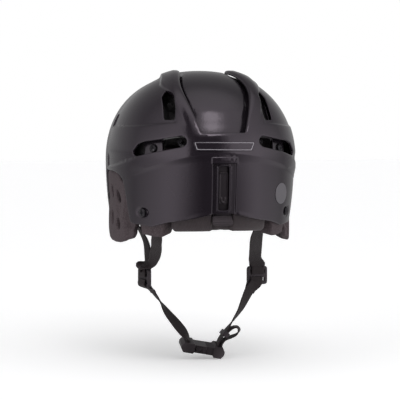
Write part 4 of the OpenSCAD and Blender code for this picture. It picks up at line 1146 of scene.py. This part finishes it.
def inserts():
    """Inserts for a face guard. Those of the visor point aside, and a little forward and down."""
    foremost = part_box("face_guard_inserts")[1].y * 1000
    turn, drop = np.radians(17), np.radians(4.5)
    square = np.array([np.cos(turn) * np.cos(drop), np.sin(turn) * np.cos(drop), -np.sin(drop)])
    seat = seen_from_side(*VISOR_INSERT) - 4.2 * square
    for side, sign in SIDES:
        at = [sign * FOREHEAD_INSERT[0], foremost - 9, FOREHEAD_INSERT[1]]
        sleeve(side + "_forehead_insert", 9.0, at, [0, 1, 0], 0, "face_guard_inserts")
        sleeve(side + "_visor_insert", 5.0, seat * [sign, 1, 1], square * [sign, 1, 1], 30, "visor_inserts")


def sleeve(name, length, at, axis, corner, node):
    """A threaded insert: a closed profile turned about an axis as a ring with no ends. A round flange
    carries a six-sided barrel, where the radius is that of a hexagon of the same corners."""
    flange = [(2.2, -1.5), (7.2, -1.5), (7.5, -1.2), (7.5, -0.2), (7.3, 0)]
    barrel = [(4.0, 0), (4.0, length - 0.3), (3.7, length), (2.6, length)]
    thread = [(2.2 + 0.3 * (k % 2), length - 0.4 - 0.4 * k) for k in range(int(length / 0.4) + 2)]
    profile = np.array(flange + barrel + thread)
    a = np.linspace(0, 2 * np.pi, 36, endpoint=False)
    hexagon = np.cos(np.pi / 6) / np.cos((a - np.radians(corner)) % (np.pi / 3) - np.pi / 6)
    six_sided = ((profile[:, 0] > 3) & (profile[:, 0] < 5))[:, None]
    r = profile[:, :1] * np.where(six_sided, hexagon, 1.0)
    rings = about(at, axis, r * np.cos(a), r * np.sin(a), profile[:, 1:])
    faces = between(rings, len(rings))
    make(name, rings.reshape(-1, 3), faces, METAL, "front_half", [node])


screws()
inserts()


# Chin strap
YOKE = np.array([64.5, -19.0, -130.0])
LEFT_TURN, RIGHT_TURN = -70.0, 8.0
YOKE_TOP, SLOT_HIGH, SLOT_LOW = -119.5, -125.4, -134.6
YOKE_BAR = 2.2
BUCKLE = np.array([0.6, -19.0, -210.5])
TILT, ROLL = np.radians(11), np.radians(12)
KEEPER, KEEPER_TURN = np.array([26.3, -19.0, -195.0]), np.radians(40.4)
KEEPER_RIGHT = np.array([np.cos(KEEPER_TURN), 0, -np.sin(KEEPER_TURN)])
KEEPER_UP = np.array([np.sin(KEEPER_TURN), 0, np.cos(KEEPER_TURN)])


def yokes():
    """Two flat frames, each turned about the vertical, with two slots for the webbing."""
    box = lambda w, h, m: [(-w, m - h), (w, m - h), (w, m + h), (-w, m + h), (-w, m - h)]
    for side, sign, turn in (("left", -1, LEFT_TURN), ("right", 1, RIGHT_TURN)):
        a = np.radians(turn)
        form = Flat(YOKE * [sign, 1, 1], [np.cos(a), np.sin(a), 0], [0, 0, 1])
        lay = lambda c, corner, step: rounded(form, form.point(dense(c)), corner, step)
        slots = [lay(box(8.3, 2.2, middle), 0.7, 0.7) for middle in (4.6, -4.6)]

        def face(p, gap, form=form):
            """A bar with fine grip ribs between the slots, by a cosine of the height."""
            c = form.chart(p)
            ribs = 0.25 * np.cos(2 * np.pi * c[:, 1]) * smooth((1.9 - np.abs(c[:, 1])) / 0.4)
            return YOKE_BAR + ribs * smooth(7 - np.abs(c[:, 0]))

        back = lambda p, gap, face=face: -face(p, gap)
        patch(side + "_yoke_frame", form, lay(box(12, 10.5, 0), 3.8, 1.0), slots, face, back, TRIM,
              "front_half", [side + "_yoke"], step=0.9, edge=0.9)


def on_yoke(sign, turn, z, side, shift, lift, azimuth):
    """Station of webbing against a face of a yoke, shifted along it and lifted off it."""
    a = np.radians(turn)
    reach = side * (YOKE_BAR + 0.3 + WEBBING_THICKNESS / 2 + lift)
    x = sign * YOKE[0] + shift * np.cos(a) - reach * np.sin(a)
    return [x, YOKE[1] + shift * np.sin(a) + reach * np.cos(a), z, azimuth]


def on_left(z, side, shift=0.0, lift=0.0, azimuth=LEFT_TURN):
    """Station against the left yoke."""
    return on_yoke(-1, LEFT_TURN, z, side, shift, lift, azimuth)


def on_right(z, side, shift=0.0, lift=0.0, azimuth=RIGHT_TURN - 180):
    """Station against the right yoke."""
    return on_yoke(1, RIGHT_TURN, z, side, shift, lift, azimuth)


def into(yoke, side, high, low):
    """Last stations of an upper strap: over the yoke's top with two lifts, and into its upper slot."""
    return [yoke(YOKE_TOP + 2, side, 0, high), yoke(YOKE_TOP - 1, side, 0, low), yoke(SLOT_HIGH - 3.2, side)]


def by_buckle(u, w, azimuth=-90):
    """Station u to the right of the buckle's middle and w above it, in the buckle's tilt and roll."""
    c, s = np.cos(TILT), np.sin(TILT)
    rise = w * np.cos(ROLL)
    return [BUCKLE[0] + u * c + rise * s, BUCKLE[1] - w * np.sin(ROLL), BUCKLE[2] - u * s + rise * c, azimuth]


def by_keeper(right, up):
    """Station beside the keeper's middle, in its own turn."""
    return [*(KEEPER + KEEPER_RIGHT * right + KEEPER_UP * up), -90]


def facing(normal):
    """Azimuth of the width of webbing that lies flat under a surface."""
    return np.degrees(np.arctan2(normal[1], normal[0])) - 90


def behind_guard(down):
    """Station of a front strap under the ear guard, at a distance below its anchor."""
    y, z = FRONT_ANCHOR
    side = seen_from_side([y, y], [z, z - down])
    depth = LAP + GUARD_WALL + 1.4 + WEBBING_THICKNESS / 2
    return [side[1, 0] - depth, y, z - down, facing(DOME.out(side)[0])]


def behind_liner(down, depth, shift):
    """Station of a rear strap below its anchor, at a depth under the shell and shifted to the middle."""
    spot, normal = on_back(*REAR_SCREW, depth)
    level = unit(np.cross([0, 0, 1.0], normal))
    fall = np.cross(level, normal)
    return [*(spot + fall * down - level * shift * np.sign(level[0])), facing(normal)]


def other_side(stations):
    """Stations mirrored in the middle plane."""
    return [[-x, y, z, -180 - azimuth] for x, y, z, azimuth in stations]


def upper_straps():
    """A front and a rear strap a side, from under the shell to the yoke."""
    front = [behind_guard(down) for down in (-8, 3, 10)]
    webbing("left_front_webbing", [
        *other_side(front), [-71.5, 15, -68, -88], [-60.6, 4, -89, -80], [-58.8, -8, -106, -74],
        *into(on_left, 1, 1.7, 0.4)], "front_half", ["left_front_strap"])
    webbing("right_front_webbing", [
        *front, [78, 16, -66, -100], [68.5, 7, -88, -130], [65.5, -6, -106, -156],
        *into(on_right, 1, 1.4, 0.2)], "front_half", ["right_front_strap"])
    blend = "rear_half", "front_half", (0, -72, -82), (0, -24, -118)
    start = [behind_liner(-8, 7.3, 0), behind_liner(-2, 7.5, 0)]
    left = start + [behind_liner(*stop) for stop in ((3, 11, 1), (6, 17, 2), (9, 23, 3), (14, 25.5, 4))]
    webbing("left_rear_webbing", [
        *other_side(left), [-61.6, -88, -74, -54], [-61, -79, -84, -66], [-58.6, -62, -95, -69],
        [-58, -46, -104, -71], [-60.4, -32, -112, -71], *into(on_left, -1, 2.2, 0.5)],
        "rear_half", ["left_rear_strap"], blend=blend)
    right = start + [behind_liner(*stop) for stop in ((3, 11, 2), (6, 17, 5), (9, 23, 9), (13, 26, 15))]
    webbing("right_rear_webbing", [
        *right, [49.2, -92, -71, -150], [49.4, -81, -80, -152], [52.4, -64, -91, -154],
        [56.2, -46, -101, -157], [59.4, -32, -111, -164], *into(on_right, -1, 1.8, 0.3)],
        "rear_half", ["right_rear_strap"], blend=blend)


def lower_straps():
    """The straps from the yokes to the buckle, their folded ends, and the tail that loops over the keeper.
    The right one is cut in two, an upper part and an end that runs on over the keeper to the plug; like the
    left one and the folds, both ride on no body."""
    blend = "front_half", "chin_loop", (0, -19, -134), (0, -19, -158)
    webbing("left_lower_webbing", [
        on_left(SLOT_LOW + 3.2, 1), on_left(SLOT_LOW - 4, 1, 0, 0.8, LEFT_TURN - 2),
        [-54.6, -17, -146.5, -80], [-48.6, -19, -155, -90], [-40, -19, -168.4, -124], [-29, -19, -182, -140],
        [-19.8, -19, -193.4, -138], by_buckle(-17, 7, -104), by_buckle(-17, 3), by_buckle(-17, -1)],
        "chin_loop", ["left_lower_strap"], per=12, blend=blend)
    webbing("left_lower_fold", [
        on_left(SLOT_LOW + 3.2, -1), on_left(SLOT_LOW - 4, -1, 0, 0.2),
        [-57.4, -19.6, -143.5, -70], [-54.4, -18.4, -148.5, -80]],
        "chin_loop", ["left_lower_strap"], blend=blend)
    webbing("right_lower_fold", [
        on_right(SLOT_LOW + 3.2, 1, -1.5), on_right(SLOT_LOW - 4, 1, -2.4),
        [58.0, -19.8, -143, -165], [55.2, -20.0, -149, -154]],
        "chin_loop", ["right_lower_strap"], blend=blend)
    whole = curve([
        on_right(SLOT_LOW + 3.2, -1, -1.5), on_right(SLOT_LOW - 3.5, -1, -2.4, 0.2, RIGHT_TURN - 179),
        [56.4, -22, -145, -160], [51.9, -19, -155, -144], [45.3, -19, -168.4, -128], [37, -19, -180.6, -112],
        by_keeper(0, 3.4), by_keeper(0, -3.4), by_buckle(16.8, 8, -94), by_buckle(16.8, 3),
        by_buckle(16.8, -1)], 12)
    cut = 12 * 4
    webbing("right_lower_webbing_upper", whole[:cut + 1], "chin_loop", ["right_lower_strap"], per=1,
            blend=blend)
    end = "chin_loop", "buckle_male", tuple(whole[cut, :3]), tuple(KEEPER + KEEPER_UP * 6)
    webbing("right_lower_webbing_end", whole[cut:], "chin_loop", ["right_lower_strap"], per=1, blend=end)
    webbing("strap_tail", [
        by_buckle(20.8, -1), by_buckle(20.8, 8), [27, -19, -202.3, -90], [34, -19, -199.7, -92],
        [40.6, -19, -196.8, -104], [43.8, -19, -192.6, -112], [41.4, -19, -188.8, -104],
        [36.4, -19, -188.9, -92], by_keeper(1.9, 4.6), by_keeper(1.9, -2.8)],
        "buckle_male", ["strap_tail_loop"])


upper_straps()
lower_straps()
yokes()


# Buckle and keeper
def eased(name, node, finish, body, width):
    """A moulded piece from its CAD solid, with its flat facets joined and its edges eased."""
    data = bmesh.new()
    data.from_mesh(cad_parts[node].data)
    bmesh.ops.remove_doubles(data, verts=data.verts, dist=1e-6)
    bmesh.ops.dissolve_limit(data, angle_limit=0.02, verts=data.verts, edges=data.edges)
    mesh = bpy.data.meshes.new(name)
    data.to_mesh(mesh)
    data.free()
    mesh.shade_smooth()
    mesh.materials.clear()
    mesh.materials.append(finish)
    piece = placed(name, mesh)
    bevel = piece.modifiers.new("eased", "BEVEL")
    bevel.width, bevel.segments, bevel.limit_method = width / 1000, 3, "ANGLE"
    bevel.angle_limit, bevel.harden_normals = 0.5, True
    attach(piece, body)
    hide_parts(node)


BUCKLE_PLASTIC = moulded_trim("buckle_plastic", (40, 36, 38), 0.34)
for name, node, body, width in (
        ("buckle_socket_moulding", "buckle_socket", "chin_loop", 0.5),
        ("buckle_plug_moulding", "buckle_plug", "buckle_male", 0.4),
        ("front_prong_moulding", "front_prong", "front_arm", 0.25),
        ("rear_prong_moulding", "rear_prong", "rear_arm", 0.25)):
    eased(name, node, BUCKLE_PLASTIC, body, width)
eased("strap_keeper_moulding", "strap_keeper", TRIM, "buckle_male", 0.5)
for hidden in ("size_nuts", "rear_strap_anchors", "front_strap_anchors"):
    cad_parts[hidden].data.materials.clear()
    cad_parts[hidden].data.materials.append(METAL)


# Floor, light and camera
def studio_level(x, y, z):
    """Brightness of the studio in a direction. It is brightest to both sides of the photographer and round
    the horizon, and falls off towards the far side. A dark gap between two soft boxes stands where the
    photographer does. Above the horizon its left edge is hard and leans outwards, and a lit ceiling ends
    it. Below the horizon, mirrored in the floor, its edges are soft."""
    azimuth = x.math("ARCTAN2", 0 - y) * (180 / np.pi)
    toward = x * -0.087 - y * 0.996 + z * 0.05
    up = z.math("MAXIMUM", 0)
    level = (toward * 1.15 + 0.78).math("MAXIMUM", 0.34).math("MINIMUM", 1.33) - up * 0.12
    level = level * (1 + 0.34 * z.rise(0, 0.08) * (1 - z.rise(0.15, 0.6))) + 0.4 * z.rise(0.82, 0.98)
    left = -33 - 62 * (up - 0.4).math("MAXIMUM", 0) ** 1.2
    ceiling = 0.9 - 0.3 * azimuth.rise(-45, -22)
    above = azimuth.rise(left - 3.5, left + 3.5) * (1 - azimuth.rise(8, 22))
    above = above * (1 - z.rise(ceiling - 0.07, ceiling + 0.07))
    below = azimuth.rise(-56, -10) * (1 - azimuth.rise(0, 55))
    hard = z.rise(-0.03, 0.05)
    return level * (1 - 0.95 * (above * hard + below * (1 - hard)))


FLOOR_GLOW, FLOOR_REACH = 0.27, 9000.0
BRIGHTEST = 1.8


def as_grey(f, level):
    """A level as a grey colour: a mix of black and the brightest grey by the level's share of it."""
    return f.mix(level / BRIGHTEST, (0, 0, 0, 1), (BRIGHTEST, BRIGHTEST, BRIGHTEST, 1))


def stage():
    """Pale floor under the buckle. The camera sees it plain, and the object's gloss sees the studio in it."""
    low = min(v.co.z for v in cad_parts["buckle_plug"].data.vertices) - 0.0005
    corners = np.array([[-1, -1], [1, -1], [1, 1], [-1, 1]]) * FLOOR_REACH
    corners = np.column_stack([corners, np.full(4, low * 1000)])
    white = Finish("floor_white", Roughness=0.9, Specular_IOR_Level=0.1, Emission_Strength=1.0)
    x, y, _ = white.split(white.place)
    near = (x * x + y * y + 0.04) ** -0.5
    seen = white.node("LightPath", output="Is Camera Ray")
    mirrored_in = as_grey(white, studio_level(x * near, y * near, near * -0.2))
    white.set(Base_Color=white.mix(seen, (0, 0, 0, 1), linear(249, 249, 250)),
              Emission_Color=white.mix(seen, mirrored_in, (FLOOR_GLOW, FLOOR_GLOW, FLOOR_GLOW, 1)))
    make("floor", corners, [(0, 1, 2, 3)], white.material, None)


def studio():
    """The same studio as the world. The camera itself sees plain white."""
    world = bpy.data.worlds.new("studio")
    bpy.context.scene.world = world
    world.use_nodes = True
    tree = world.node_tree
    background = tree.nodes["Background"]
    f = Finish.__new__(Finish)
    f.tree = tree
    x, y, z = f.split(f.node("TexCoord", output="Generated"))
    seen = f.node("LightPath", output="Is Camera Ray")
    join(tree, background.inputs["Strength"], seen + (1 - seen) * studio_level(x, y, z))
    background.inputs["Color"].default_value = (1, 1, 1, 1)
    tree.links.new(background.outputs[0], tree.nodes["World Output"].inputs[0])


def lamp(name, place, target, size, energy):
    """An elliptic soft box at a place, turned to its target."""
    data = bpy.data.lights.new(name, "AREA")
    data.shape, data.size, data.size_y, data.energy = "ELLIPSE", size[0], size[1], energy
    light = placed(name, data)
    light.location = place
    light.rotation_euler = (Vector(target) - Vector(place)).to_track_quat("-Z", "Y").to_euler()


def camera():
    """The photograph's camera: to the wearer's left of straight behind, and a little above."""
    azimuth, rise, distance = np.radians(-11.4), np.radians(3.0), 1.6
    middle = np.array([0.0025, 0.0, -0.045])
    back = np.array([np.sin(azimuth) * np.cos(rise), -np.cos(azimuth) * np.cos(rise), np.sin(rise)])
    data = bpy.data.cameras.new("camera")
    data.lens, data.sensor_width = 126.7, 36
    eye = placed("camera", data)
    eye.location = middle + back * distance
    eye.rotation_euler = Vector(-back).to_track_quat("-Z", "Y").to_euler()
    bpy.context.scene.camera = eye


stage()
studio()
lamp("glow", (0.06, -1.03, 1.09), (0, 0, 0), (0.5, 0.44), 2.1)
camera()
bpy.context.scene.view_settings.view_transform = "Standard"
